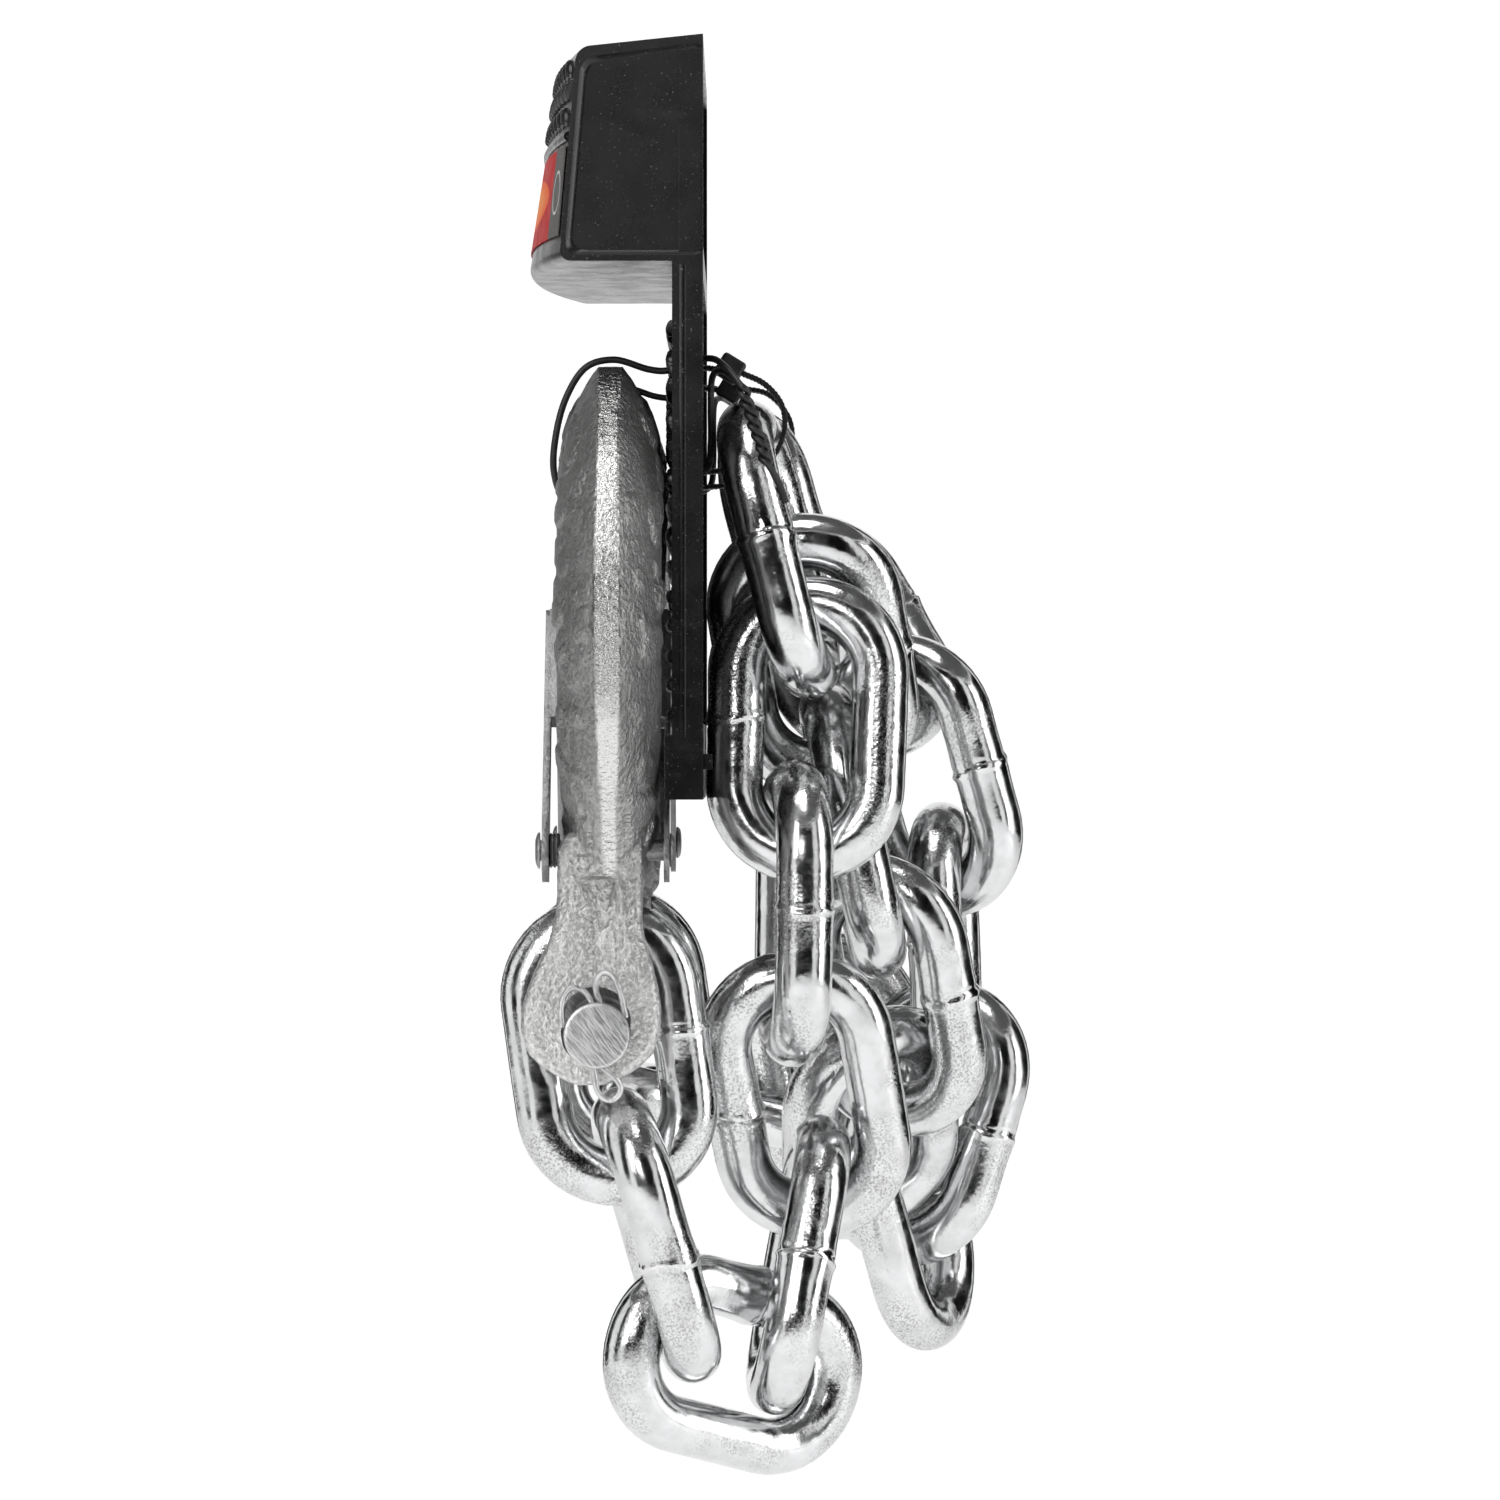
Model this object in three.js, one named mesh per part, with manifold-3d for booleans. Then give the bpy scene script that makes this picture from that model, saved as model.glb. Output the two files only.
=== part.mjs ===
// A retail hanger card carrying one welded safety chain with a forged clevis slip hook on each end.
// Millimetres. +X runs across the card, -Y is the side the shopper sees, +Z is up.
// The chain is laid out in the card's own coordinates and the whole pack is then moved so that
// the origin sits in the peg hole, on the plane of the card's back.
import * as THREE from 'three';
import { mergeVertices } from 'three/addons/utils/BufferGeometryUtils.js';
import Module from 'manifold-3d';

const wasm = await Module();
wasm.setup();

// Chain: 5/16 in proof coil
const WIRE = 8.4;
const INNER_LENGTH = 28.6;
const INNER_WIDTH = 12.7;
const BEND = (INNER_WIDTH + WIRE) / 2; // radius of the wire's centre line at each end
const HALF_STRAIGHT = (INNER_LENGTH - INNER_WIDTH) / 2;
const CROWN = BEND + HALF_STRAIGHT; // link centre to the wire's centre at the crown
const CLEARANCE = 0.4;

// Hanger card
const CARD = { half: 52, front: -11.3, back: -6.8, bottom: -7.2, pocket: 2.4, rim: 3 };
const HEADER = { bottom: 70.8, top: 103.7, frontTop: -25.3, frontBottom: -27.5, wall: 2.2 };
const BOW = { top: 3.5, bottom: 5.7 }; // how far the header's front stands out at mid width
const PEG = { z: 94, radius: 5 };
const WIRE_HOLE = 1.5;

// Hooks: the pin's centre line crosses the hook's plane at this point
const HOOK_X = 46;
const PIN = { y: -22, z: -41, radius: 4.75, far: -17.2, near: 16.4 };
const EAR = { inner: 5.3, outer: 11.8, radius: 9.6, lift: 1.9, hole: 5.4 };
const FORGING = { y: -20.3, half: 7.6 };
const LATCH = { x: 1.5, z: 26.4, wall: 0.8, half: 7.8 }; // pivot, from the pin's centre

// ---- small helpers -------------------------------------------------------------------------

const V = (x, y, z) => new THREE.Vector3(x, y, z);

function toSolid(geometry) {
  const plain = geometry.clone();
  plain.deleteAttribute('normal');
  plain.deleteAttribute('uv');
  const merged = mergeVertices(plain, 1e-4);
  return new wasm.Manifold(new wasm.Mesh({
    numProp: 3,
    vertProperties: new Float32Array(merged.attributes.position.array),
    triVerts: new Uint32Array(merged.index.array),
  }));
}

function toGeometry(solid) {
  const mesh = solid.getMesh();
  const geometry = new THREE.BufferGeometry();
  geometry.setAttribute('position', new THREE.BufferAttribute(mesh.vertProperties.slice(), 3));
  geometry.setIndex(new THREE.BufferAttribute(mesh.triVerts.slice(), 1));
  geometry.computeVertexNormals();
  return geometry;
}

// A closed skin over a row of rings with the same number of points, with flat ends.
function loft(rings) {
  const count = rings[0].length;
  const points = rings.flat();
  const index = [];
  for (let i = 0; i + 1 < rings.length; i++) {
    for (let j = 0; j < count; j++) {
      const a = i * count + j;
      const b = i * count + (j + 1) % count;
      index.push(a, b, b + count, a, b + count, a + count);
    }
  }
  const last = (rings.length - 1) * count;
  for (let j = 1; j + 1 < count; j++) {
    index.push(0, j + 1, j);
    index.push(last, last + j, last + j + 1);
  }
  const geometry = new THREE.BufferGeometry().setFromPoints(points);
  geometry.setIndex(index);
  return geometry;
}

function box(x0, x1, y0, y1, z0, z1) {
  const geometry = new THREE.BoxGeometry(x1 - x0, y1 - y0, z1 - z0);
  geometry.translate((x0 + x1) / 2, (y0 + y1) / 2, (z0 + z1) / 2);
  return geometry;
}

function rod(radius, from, to, sides = 16) {
  const way = to.clone().sub(from);
  const geometry = new THREE.CylinderGeometry(radius, radius, way.length(), sides);
  geometry.applyQuaternion(new THREE.Quaternion().setFromUnitVectors(V(0, 1, 0), way.normalize()));
  geometry.translate((from.x + to.x) / 2, (from.y + to.y) / 2, (from.z + to.z) / 2);
  return geometry;
}

// The same shape on the other side of the pack, still facing out.
function mirrored(geometry) {
  const flipped = geometry.index ? geometry.clone() : mergeVertices(geometry);
  flipped.scale(-1, 1, 1);
  const index = flipped.index;
  for (let i = 0; i < index.count; i += 3) {
    const keep = index.getX(i);
    index.setX(i, index.getX(i + 2));
    index.setX(i + 2, keep);
  }
  return flipped;
}

// A round or flat strand along a smooth curve through some points.
function strand(points, halfWide, halfThick, steps, sides = 6) {
  const curve = new THREE.CatmullRomCurve3(points, false, 'centripetal');
  const outline = [];
  for (let i = 0; i < sides; i++) {
    const a = ((i + 0.5) / sides) * Math.PI * 2;
    outline.push(new THREE.Vector2(Math.cos(a) * halfWide, Math.sin(a) * halfThick));
  }
  const shape = new THREE.Shape(outline);
  return new THREE.ExtrudeGeometry(shape, { steps, extrudePath: curve, bevelEnabled: false });
}

// ---- materials -----------------------------------------------------------------------------

const looks = {
  zinc: { color: 0xc6c8c9, roughness: 0.22, metalness: 1 },
  forged: { color: 0x9b9c9b, roughness: 0.5, metalness: 1 },
  pin: { color: 0xb4b4b1, roughness: 0.42, metalness: 1 },
  plastic: { color: 0x1c1c1d, roughness: 0.42, metalness: 0 },
  label: { color: 0x8c8f92, roughness: 0.22, metalness: 0 },
  coated: { color: 0x121212, roughness: 0.45, metalness: 0 },
};

const pack = new THREE.Group();

function add(name, geometry, look) {
  const mesh = new THREE.Mesh(geometry, new THREE.MeshStandardMaterial(looks[look]));
  mesh.name = name;
  pack.add(mesh);
  return mesh;
}

// ---- chain ---------------------------------------------------------------------------------

// A torus whose rings are spread over two half turns, which are then moved apart.
function linkGeometry(sides = 8, turns = 7) {
  const rings = 2 * (turns + 1);
  const geometry = new THREE.TorusGeometry(BEND, WIRE / 2, sides, rings);
  geometry.deleteAttribute('normal');
  geometry.deleteAttribute('uv');
  const at = geometry.attributes.position;
  for (let j = 0; j <= sides; j++) {
    for (let i = 0; i <= rings; i++) {
      const n = j * (rings + 1) + i;
      const k = i % rings;
      const half = k > turns ? 1 : 0;
      const turn = half * Math.PI + ((k - half * (turns + 1)) / turns) * Math.PI;
      const spin = ((j % sides) + 0.5) / sides * Math.PI * 2;
      const reach = BEND + (WIRE / 2) * Math.cos(spin);
      const lift = half ? -HALF_STRAIGHT : HALF_STRAIGHT;
      at.setXYZ(n, reach * Math.cos(turn), reach * Math.sin(turn) + lift, (WIRE / 2) * Math.sin(spin));
    }
  }
  return mergeVertices(geometry, 1e-4);
}

// Each link runs from one crown to the other; across is roughly the way its width points.
const LAY = [
  // off the near hook, under the card and up behind it
  { from: [46, -23.1, -26.0], to: [46, -17.9, -61.6], across: [0, 1, 0.14], held: true },
  { from: [46, -16.0, -53.3], to: [42, -9.0, -87.3], across: [-0.92, 0.39, 0] },
  { from: [46, -14.5, -89.0], to: [22, 10.7, -93.6], across: [0.1, 0, 1] },
  { from: [28, 4.9, -92.7], to: [24, 9.2, -60.6], across: [-0.91, 0.4, 0] },
  { from: [21, 10.4, -69.2], to: [37, 5.3, -36.2], across: [0, 1, 0] },
  { from: [33, 6.3, -43.4], to: [33, 5.9, -7.2], across: [1, 0, 0] },
  { from: [34, 7.2, -12.9], to: [32, 7.4, 23.8], across: [0.1, 1, 0] },
  { from: [30, 5.0, 16.6], to: [37, -2.4, 51.8], across: [1, -0.14, 0] },
  // down again
  { from: [28, 6.0, 30.0], to: [17, 9.8, -5.0], across: [0, 1, 0] },
  { from: [17, 10.2, 3.4], to: [15, 17.0, -32.9], across: [1, 0.1, 0] },
  { from: [16, 17.4, -24.4], to: [3, 18.5, -58.0], across: [0.55, 0.84, 0] },
  { from: [6, 21.0, -43.0], to: [-15, 22.3, -70.0], across: [-0.7, 0.7, 0] },
  // the lowest link of the inner loop
  { from: [-18, 22.0, -86.2], to: [-10, 21.2, -51.0], across: [1, 0, 0] },
  // up again
  { from: [-19, 22.6, -73.0], to: [-21, 30.6, -38.4], across: [0.5, 0.8, 0] },
  { from: [-20, 36.3, -49.6], to: [-20, 31.6, -14.0], across: [-0.95, -0.3, 0] },
  { from: [-20, 28.6, -22.4], to: [-17, 20.4, 12.8], across: [0.5, 0.85, 0] },
  { from: [-14, 25.0, 3.0], to: [-31, 6.0, 31.5], across: [-0.5, 0.6, 0.6] },
  { from: [-30, 11.0, 16.0], to: [-36, -2.2, 49.6], across: [1, 0, 0] },
  // down behind the card to the far hook
  { from: [-32, 6.0, 23.0], to: [-32, 6.0, -13.5], across: [0, 1, 0] },
  { from: [-32, 7.0, -5.0], to: [-35, 10.0, -41.0], across: [1, 0, 0] },
  { from: [-36, 11.0, -33.0], to: [-39, 15.0, -68.5], across: [0, 1, 0] },
  { from: [-39, 16.4, -60.0], to: [-46, -18.2, -53.1], across: [1, 0, 0] },
  { from: [-46, -17.9, -61.6], to: [-46, -23.1, -26.0], across: [0, 1, 0.14], held: true },
];

// How far along a link from its centre its neighbour's crown crosses it when the chain is drawn
// out. Where two neighbours hang from one crown, the second one's crown lies on the first's.
const DRAWN = HALF_STRAIGHT + 1.6;
const JOINED = LAY.slice(1).map((_, i) => ({ i, j: i + 1, at: [DRAWN, -DRAWN], ends: [1, -1] }));
Object.assign(JOINED[7], { at: [0, -1], ends: [-1, -1] });
Object.assign(JOINED[11], { at: [DRAWN, 0.4], ends: [1, 1] });
Object.assign(JOINED[12], { at: [DRAWN - 8.6, -DRAWN + 8.6], ends: [1, -1] });
Object.assign(JOINED[16], { at: [1, 0], ends: [1, -1] });
Object.assign(JOINED[17], { at: [-DRAWN, -DRAWN], ends: [-1, -1] });

// The ends and the sides of a link, in its own plane.
const REACHES = [[0, -CROWN], [0, CROWN], [-BEND, 0], [BEND, 0]];

function placeLink({ from, to, across, held }) {
  const a = V(...from);
  const b = V(...to);
  const along = b.clone().sub(a).normalize();
  const wide = V(...across);
  wide.addScaledVector(along, -wide.dot(along)).normalize();
  const through = wide.clone().cross(along);
  const turn = new THREE.Matrix4().makeBasis(wide, along, through);
  const at = a.add(b).multiplyScalar(0.5);
  const start = REACHES.map(([x, y]) => at.clone().addScaledVector(wide, x).addScaledVector(along, y));
  return {
    held: Boolean(held),
    at,
    turn: new THREE.Quaternion().setFromRotationMatrix(turn),
    start,
  };
}

// Points along the wire's centre line of a link lying in its own plane.
const CENTRE_LINE = [];
for (let i = 0; i < 20; i++) {
  const a = (i / 20) * Math.PI;
  CENTRE_LINE.push(V(BEND * Math.cos(a), BEND * Math.sin(a) + HALF_STRAIGHT, 0));
  CENTRE_LINE.push(V(-BEND * Math.cos(a), -BEND * Math.sin(a) - HALF_STRAIGHT, 0));
}
for (let i = 0; i < 8; i++) {
  const y = -HALF_STRAIGHT + (i + 0.5) * (HALF_STRAIGHT / 4);
  CENTRE_LINE.push(V(BEND, y, 0), V(-BEND, y, 0));
}

const place = (link, x, y) => V(x, y, 0).applyQuaternion(link.turn).add(link.at);

// Moves one link so that a point on it goes some way along a direction.
function nudge(link, point, move) {
  if (link.held || move.lengthSq() < 1e-12) return;
  const swing = point.clone().sub(link.at).cross(move);
  link.at.add(move);
  const angle = Math.min(0.05, swing.length() / 260);
  link.turn.premultiply(new THREE.Quaternion().setFromAxisAngle(swing.normalize(), angle));
}

// Draws a crown of one link towards the place in its neighbour's opening where it crosses.
function draw(link, end, other, y, strength) {
  const bend = place(link, 0, end * HALF_STRAIGHT);
  const target = place(other, 0, y);
  const through = V(0, 0, 1).applyQuaternion(link.turn);
  const way = target.clone().sub(bend);
  way.addScaledVector(through, -way.dot(through)).normalize();
  const crown = bend.addScaledVector(way, BEND);
  const move = target.clone().sub(crown).multiplyScalar(strength);
  const share = link.held || other.held ? 1 : 0.5;
  nudge(link, crown, move.clone().multiplyScalar(share));
  nudge(other, target, move.multiplyScalar(-share));
}

// Parts two links that are nearer than the wire allows.
function part(one, two, a, b, wanted) {
  let nearest = wanted;
  let pair = null;
  for (const p of a) {
    for (const q of b) {
      const d = p.distanceTo(q);
      if (d < nearest) {
        nearest = d;
        pair = [p, q];
      }
    }
  }
  if (!pair) return;
  const way = pair[0].clone().sub(pair[1]).normalize().multiplyScalar((wanted - nearest) * 0.5);
  const share = one.held || two.held ? 1 : 0.5;
  nudge(one, pair[0], way.clone().multiplyScalar(share));
  nudge(two, pair[1], way.multiplyScalar(-share));
}

// Lets the links settle against each other, the card's back and the hooks' ears, so that none
// of them shares any space. Early on each one is also drawn back to where it was laid.
function settle(links) {
  const rounds = 900;
  for (let round = 0; round < rounds; round++) {
    const ease = Math.max(0, 1 - round / (rounds * 0.85));
    for (const { i, j, at, ends } of JOINED) {
      draw(links[j], ends[1], links[i], at[0], 0.2 * ease);
      draw(links[i], ends[0], links[j], at[1], 0.2 * ease);
    }
    for (const link of links) {
      REACHES.forEach(([x, y], k) => {
        const reach = place(link, x, y);
        nudge(link, reach, link.start[k].clone().sub(reach).multiplyScalar(0.08 * ease));
      });
    }
    const wanted = WIRE + CLEARANCE * Math.min(1, (round / rounds) * 2);
    const points = links.map((l) => CENTRE_LINE.map((p) => p.clone().applyQuaternion(l.turn).add(l.at)));
    for (let i = 0; i < links.length; i++) {
      for (let j = i + 1; j < links.length; j++) {
        if (links[i].at.distanceTo(links[j].at) < 2 * (CROWN + WIRE / 2) + 1) {
          part(links[i], links[j], points[i], points[j], wanted);
        }
      }
      for (const p of points[i]) {
        const back = CARD.back + WIRE / 2 + 0.25;
        if (p.z > CARD.bottom - WIRE / 2 && p.y > CARD.front && p.y < back) {
          nudge(links[i], p, V(0, (back - p.y) * 0.3, 0));
        }
        if (Math.abs(Math.abs(p.x) - HOOK_X) < EAR.outer + WIRE / 2) {
          const away = p.clone().sub(V(p.x, PIN.y, PIN.z + EAR.lift));
          const gap = EAR.radius + 0.3 + WIRE / 2 - away.length();
          if (gap > 0) nudge(links[i], p, away.normalize().multiplyScalar(gap * 0.3));
        }
      }
    }
  }
}

const links = LAY.map(placeLink);
settle(links);
links.forEach((link, i) => {
  const mesh = add(`chain_link_${String(i + 1).padStart(2, '0')}`, linkGeometry(), 'zinc');
  mesh.position.copy(link.at);
  mesh.quaternion.copy(link.turn);
});

// ---- hanger card ---------------------------------------------------------------------------

// The header's outline at one place across its width, inset by a wall where it is hollow.
function headerRing(x, inset) {
  const share = 1 - (x / CARD.half) ** 2;
  const top = HEADER.frontTop - BOW.top * share + inset;
  const low = HEADER.frontBottom - BOW.bottom * share + inset;
  const back = inset ? CARD.back + 1 : CARD.back;
  return [
    V(x, back, HEADER.bottom + inset),
    V(x, back, HEADER.top - inset),
    V(x, top + 2.2, HEADER.top - 1.7 - inset),
    V(x, top, HEADER.top - 3.6 - inset),
    V(x, low, HEADER.bottom + 1.4 + inset),
    V(x, low + 1.3, HEADER.bottom + inset),
  ];
}

function headerBlock(inset) {
  const rings = [];
  const half = CARD.half - inset;
  for (let i = 0; i <= 10; i++) {
    rings.push(headerRing(-half + (i / 10) * 2 * half, inset));
  }
  return toSolid(loft(rings));
}

// Where the twist wires and the ties pass through the card, for one side.
const WIRE_HOLES = [[42, 56.6], [37, 40]];
const TIE_SLOTS = [55.6, 41.2];
const TIE_X = 32;

function hangerGeometry() {
  const c = CARD;
  let solid = headerBlock(0);
  solid = solid.add(toSolid(box(-c.half, c.half, c.front, c.back, c.bottom, HEADER.bottom + 1)));
  solid = solid.add(toSolid(box(-26, 26, c.front - 1, c.back, c.bottom, c.bottom + 9.4)));
  for (const side of [-1, 1]) {
    const corner = side * (c.half - 0.5);
    solid = solid.add(toSolid(box(corner - 0.5, corner + 0.5, c.front - 1, c.back, c.bottom, c.bottom + 9.4)));
    solid = solid.add(toSolid(box(side * 47 - 3.5, side * 47 + 3.5, c.back - 1, c.back + 1.3, -2.8, -0.6)));
  }
  solid = solid.subtract(headerBlock(HEADER.wall));
  solid = solid.subtract(toSolid(box(-c.half + c.rim, c.half - c.rim, c.back - c.pocket, c.back + 3,
    c.bottom + 11, HEADER.bottom - 2)));
  solid = solid.subtract(toSolid(rod(PEG.radius, V(0, -45, PEG.z), V(0, 0, PEG.z), 20)));
  for (const side of [-1, 1]) {
    for (const [x, z] of WIRE_HOLES) {
      solid = solid.subtract(toSolid(rod(WIRE_HOLE, V(side * x, -14, z), V(side * x, -4, z), 8)));
    }
    for (const z of TIE_SLOTS) {
      const x = side * TIE_X;
      solid = solid.subtract(toSolid(box(x - 2.6, x + 2.6, -14, -4, z - 1.6, z + 1.6)));
    }
  }
  return toGeometry(solid);
}

add('hanger_card', hangerGeometry(), 'plastic');

// A thin sheet that follows the header's front, a little clear of it.
function labelGeometry() {
  const skin = headerBlock(0).translate([0, -0.5, 0]).subtract(headerBlock(0).translate([0, -0.12, 0]));
  const window = toSolid(box(-46, 46, -60, -20, HEADER.bottom + 1.9, HEADER.bottom + 14.6));
  return toGeometry(skin.intersect(window));
}

add('header_label', labelGeometry(), 'label');

// ---- what ties the pack together -----------------------------------------------------------

// A coated wire over the hook's bowl, through the card, through a link behind it and twisted
// together with its own other end. For the near side.
function twistWireGeometry() {
  const top = V(51.3, -1.2, 52.6);
  const low = V(51.7, 2.6, 41.4);
  const turns = 3.5;
  const steps = 14;
  const coil = (phase) => {
    const points = [];
    for (let i = 0; i <= steps; i++) {
      const a = phase + (i / steps) * turns * Math.PI * 2;
      points.push(top.clone().lerp(low, i / steps).add(V(Math.cos(a) * 0.66, Math.sin(a) * 0.66, 0)));
    }
    return points;
  };
  const loop = [
    V(49, -3.6, 55.6), V(45.5, -5.6, 57), V(42, -9, 56.6), V(42, -12.3, 55.4), V(42, -14.8, 55.6),
    V(42, -19.8, 57.2), V(42, -23.8, 56.2), V(42, -26.8, 51.6), V(42, -28.6, 45), V(41.6, -28.7, 40.4),
    V(40, -27.2, 37), V(38, -22, 36.2), V(37.4, -15, 37.4), V(37, -9, 40), V(36.7, -6.2, 41.2),
    V(36.2, -5.75, 45), V(36.4, -5.75, 50), V(38.6, -5.6, 54.2), V(43, -4.6, 55.4), V(47.4, -2.8, 54.6),
  ];
  const tail = [V(51.3, 4.2, 38.6), V(50.9, 5.2, 35.8)];
  const path = [...coil(0).reverse(), ...loop, ...coil(Math.PI), ...tail];
  return strand(path, 0.45, 0.45, 104, 5);
}

// A strap over the top of a link behind the card and down the card's front, with its lock.
function cableTieGeometry() {
  const x = TIE_X;
  const path = [
    V(x, -3.9, 55.9), V(x, -6.6, 56.3), V(x, -10.6, 56.0), V(x, -11.9, 54.0), V(x, -11.95, 51.5),
    V(x, -11.95, 45), V(x, -11.9, 42.6), V(x, -10.6, 40.9), V(x, -6.0, 41.0), V(x, -2, 41.4),
    V(x, 3.4, 42.3), V(x, 6.3, 46.5), V(x, 6.2, 51.4), V(x, 2.9, 55.4), V(x, -1.3, 56.4),
  ];
  const strap = toSolid(strand(path, 1.8 * Math.SQRT2, 0.42 * Math.SQRT2, 44, 4));
  const lock = box(-2.4, 2.4, -1.9, 1.9, -1.7, 1.9);
  lock.rotateX(-0.3);
  lock.translate(x, -3.0, 56.1);
  return toGeometry(strap.add(toSolid(lock)));
}

for (const [side, tag] of [[1, 'near'], [-1, 'far']]) {
  const wire = twistWireGeometry();
  const tie = cableTieGeometry();
  add(`twist_wire_${tag}`, side > 0 ? wire : mirrored(wire), 'coated');
  add(`cable_tie_${tag}`, side > 0 ? tie : mirrored(tie), 'coated');
}

// ---- hooks ---------------------------------------------------------------------------------

// The forging's centre line in its own plane, from the pin's centre: [x, z, half depth, half width].
const HOOK_LINE = [
  [0, 14, 6.2, 5.6],
  [1.5, 22, 6.6, 6.6],
  [6, 32, 7.4, 7.3],
  [13.5, 43, 8.2, 7.6],
  [19.5, 55, 8.7, 7.6],
  [20.5, 66, 8.9, 7.6],
  [16.5, 77, 8.9, 7.6],
  [8, 85.5, 8.8, 7.6],
  [-3, 88.2, 8.6, 7.6],
  [-14, 85.5, 8.2, 7.6],
  [-22.5, 77.5, 7.8, 7.5],
  [-26.8, 67, 7.0, 7.2],
  [-28.2, 57, 6.2, 6.7],
  [-29.5, 49, 4.6, 5.4],
  [-31.0, 43.5, 2.4, 3.0],
];

// The forging's section: how far out from the hook's plane for each step across its depth.
const HOOK_SECTION = [
  [1, 0.22], [0.72, 0.55], [0.3, 0.9], [-0.15, 1], [-0.65, 0.86], [-0.95, 0.5],
  [-0.95, -0.5], [-0.65, -0.86], [-0.15, -1], [0.3, -0.9], [0.72, -0.55], [1, -0.22],
];

function forgingRings() {
  return HOOK_LINE.map(([x, z, deep, wide], i) => {
    const before = HOOK_LINE[Math.max(0, i - 1)];
    const after = HOOK_LINE[Math.min(HOOK_LINE.length - 1, i + 1)];
    const way = V(after[0] - before[0], 0, after[1] - before[1]).normalize();
    const out = V(way.z, 0, -way.x);
    return HOOK_SECTION.map(([d, w]) => V(x, 0, z).addScaledVector(out, d * deep).add(V(0, w * wide, 0)));
  });
}

// Everything of a hook stands in the hook's own frame: x away from the other hook, pin at the
// origin. The pin hangs a little to the front of the forging's middle plane.
const HOOK_SHIFT = FORGING.y - PIN.y;

function hookGeometry() {
  const body = loft(forgingRings());
  body.translate(0, HOOK_SHIFT, 0);
  let solid = toSolid(body);
  // fork: two round ears under a bridge
  const e = EAR;
  for (const side of [-1, 1]) {
    solid = solid.add(toSolid(rod(e.radius, V(side * e.inner, 0, e.lift), V(side * e.outer, 0, e.lift), 24)));
    const arm = loft([
      [V(side * e.inner, -7.8, 4), V(side * e.outer, -7.8, 4), V(side * e.outer, 8.2, 4),
        V(side * e.inner, 8.2, 4)],
      [V(side * 4.9, -4.4, 18.6), V(side * 8.2, -4.4, 18.6), V(side * 8.2, 7.2, 18.6), V(side * 4.9, 7.2, 18.6)],
    ].map((ring) => (side > 0 ? ring : ring.reverse())));
    solid = solid.add(toSolid(arm));
  }
  const bridge = loft([
    [V(-8.2, -4.4, 18.4), V(8.2, -4.4, 18.4), V(8.2, 7.2, 18.4), V(-8.2, 7.2, 18.4)],
    [V(-5.4, -3.6, 27), V(8.0, -3.6, 27), V(8.0, 6.8, 27), V(-5.4, 6.8, 27)],
  ]);
  solid = solid.add(toSolid(bridge));
  // room for the first link between the ears, and the pin's hole, taller than it is wide
  solid = solid.subtract(toSolid(box(-e.inner, e.inner, -20, 20, -20, 21.4)));
  const hole = rod(e.hole, V(-15, 0, 0.3), V(15, 0, 0.3), 20);
  const tall = rod(e.hole, V(-15, 0, 2.3), V(15, 0, 2.3), 20);
  solid = solid.subtract(toSolid(hole).add(toSolid(tall)));
  // bore for the latch rivet
  const l = LATCH;
  solid = solid.subtract(toSolid(rod(1.9, V(l.x, -12, l.z), V(l.x, 15, l.z), 12)));
  return toGeometry(solid);
}

function pinGeometry() {
  let solid = toSolid(rod(PIN.radius, V(PIN.far + 2, 0, 0), V(PIN.near, 0, 0), 24));
  solid = solid.add(toSolid(rod(6.6, V(PIN.far, 0, 0), V(PIN.far + 2.6, 0, 0), 24)));
  solid = solid.subtract(toSolid(rod(1.15, V(13.7, 0, -8), V(13.7, 0, 8), 8)));
  return toGeometry(solid);
}

// A split pin: an eye under the clevis pin, two legs through it, each bent over and down.
function cotterGeometry() {
  const x = 13.7;
  const path = [
    V(x + 0.2, -6.6, 2.2), V(x + 0.2, -6.3, 4.6), V(x + 0.1, -4.6, 6.9), V(x, -2.4, 7.6), V(x, -0.8, 6.4),
    V(x, -0.5, 4.4), V(x, -0.5, 0), V(x, -0.5, -4.6), V(x, -1.3, -6.4), V(x, -1.7, -7.8), V(x, -0.9, -9.1),
    V(x, 0.6, -9.3), V(x, 1.8, -8.2), V(x, 1.5, -6.6), V(x, 0.5, -4.8), V(x, 0.5, 0), V(x, 0.5, 5.2),
    V(x, 1.0, 8.2), V(x, 2.8, 9.5), V(x + 0.1, 4.8, 8.4), V(x + 0.2, 6.1, 5.6), V(x + 0.2, 6.5, 2.4),
  ];
  return strand(path, 0.47, 0.47, 46, 5);
}

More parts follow.
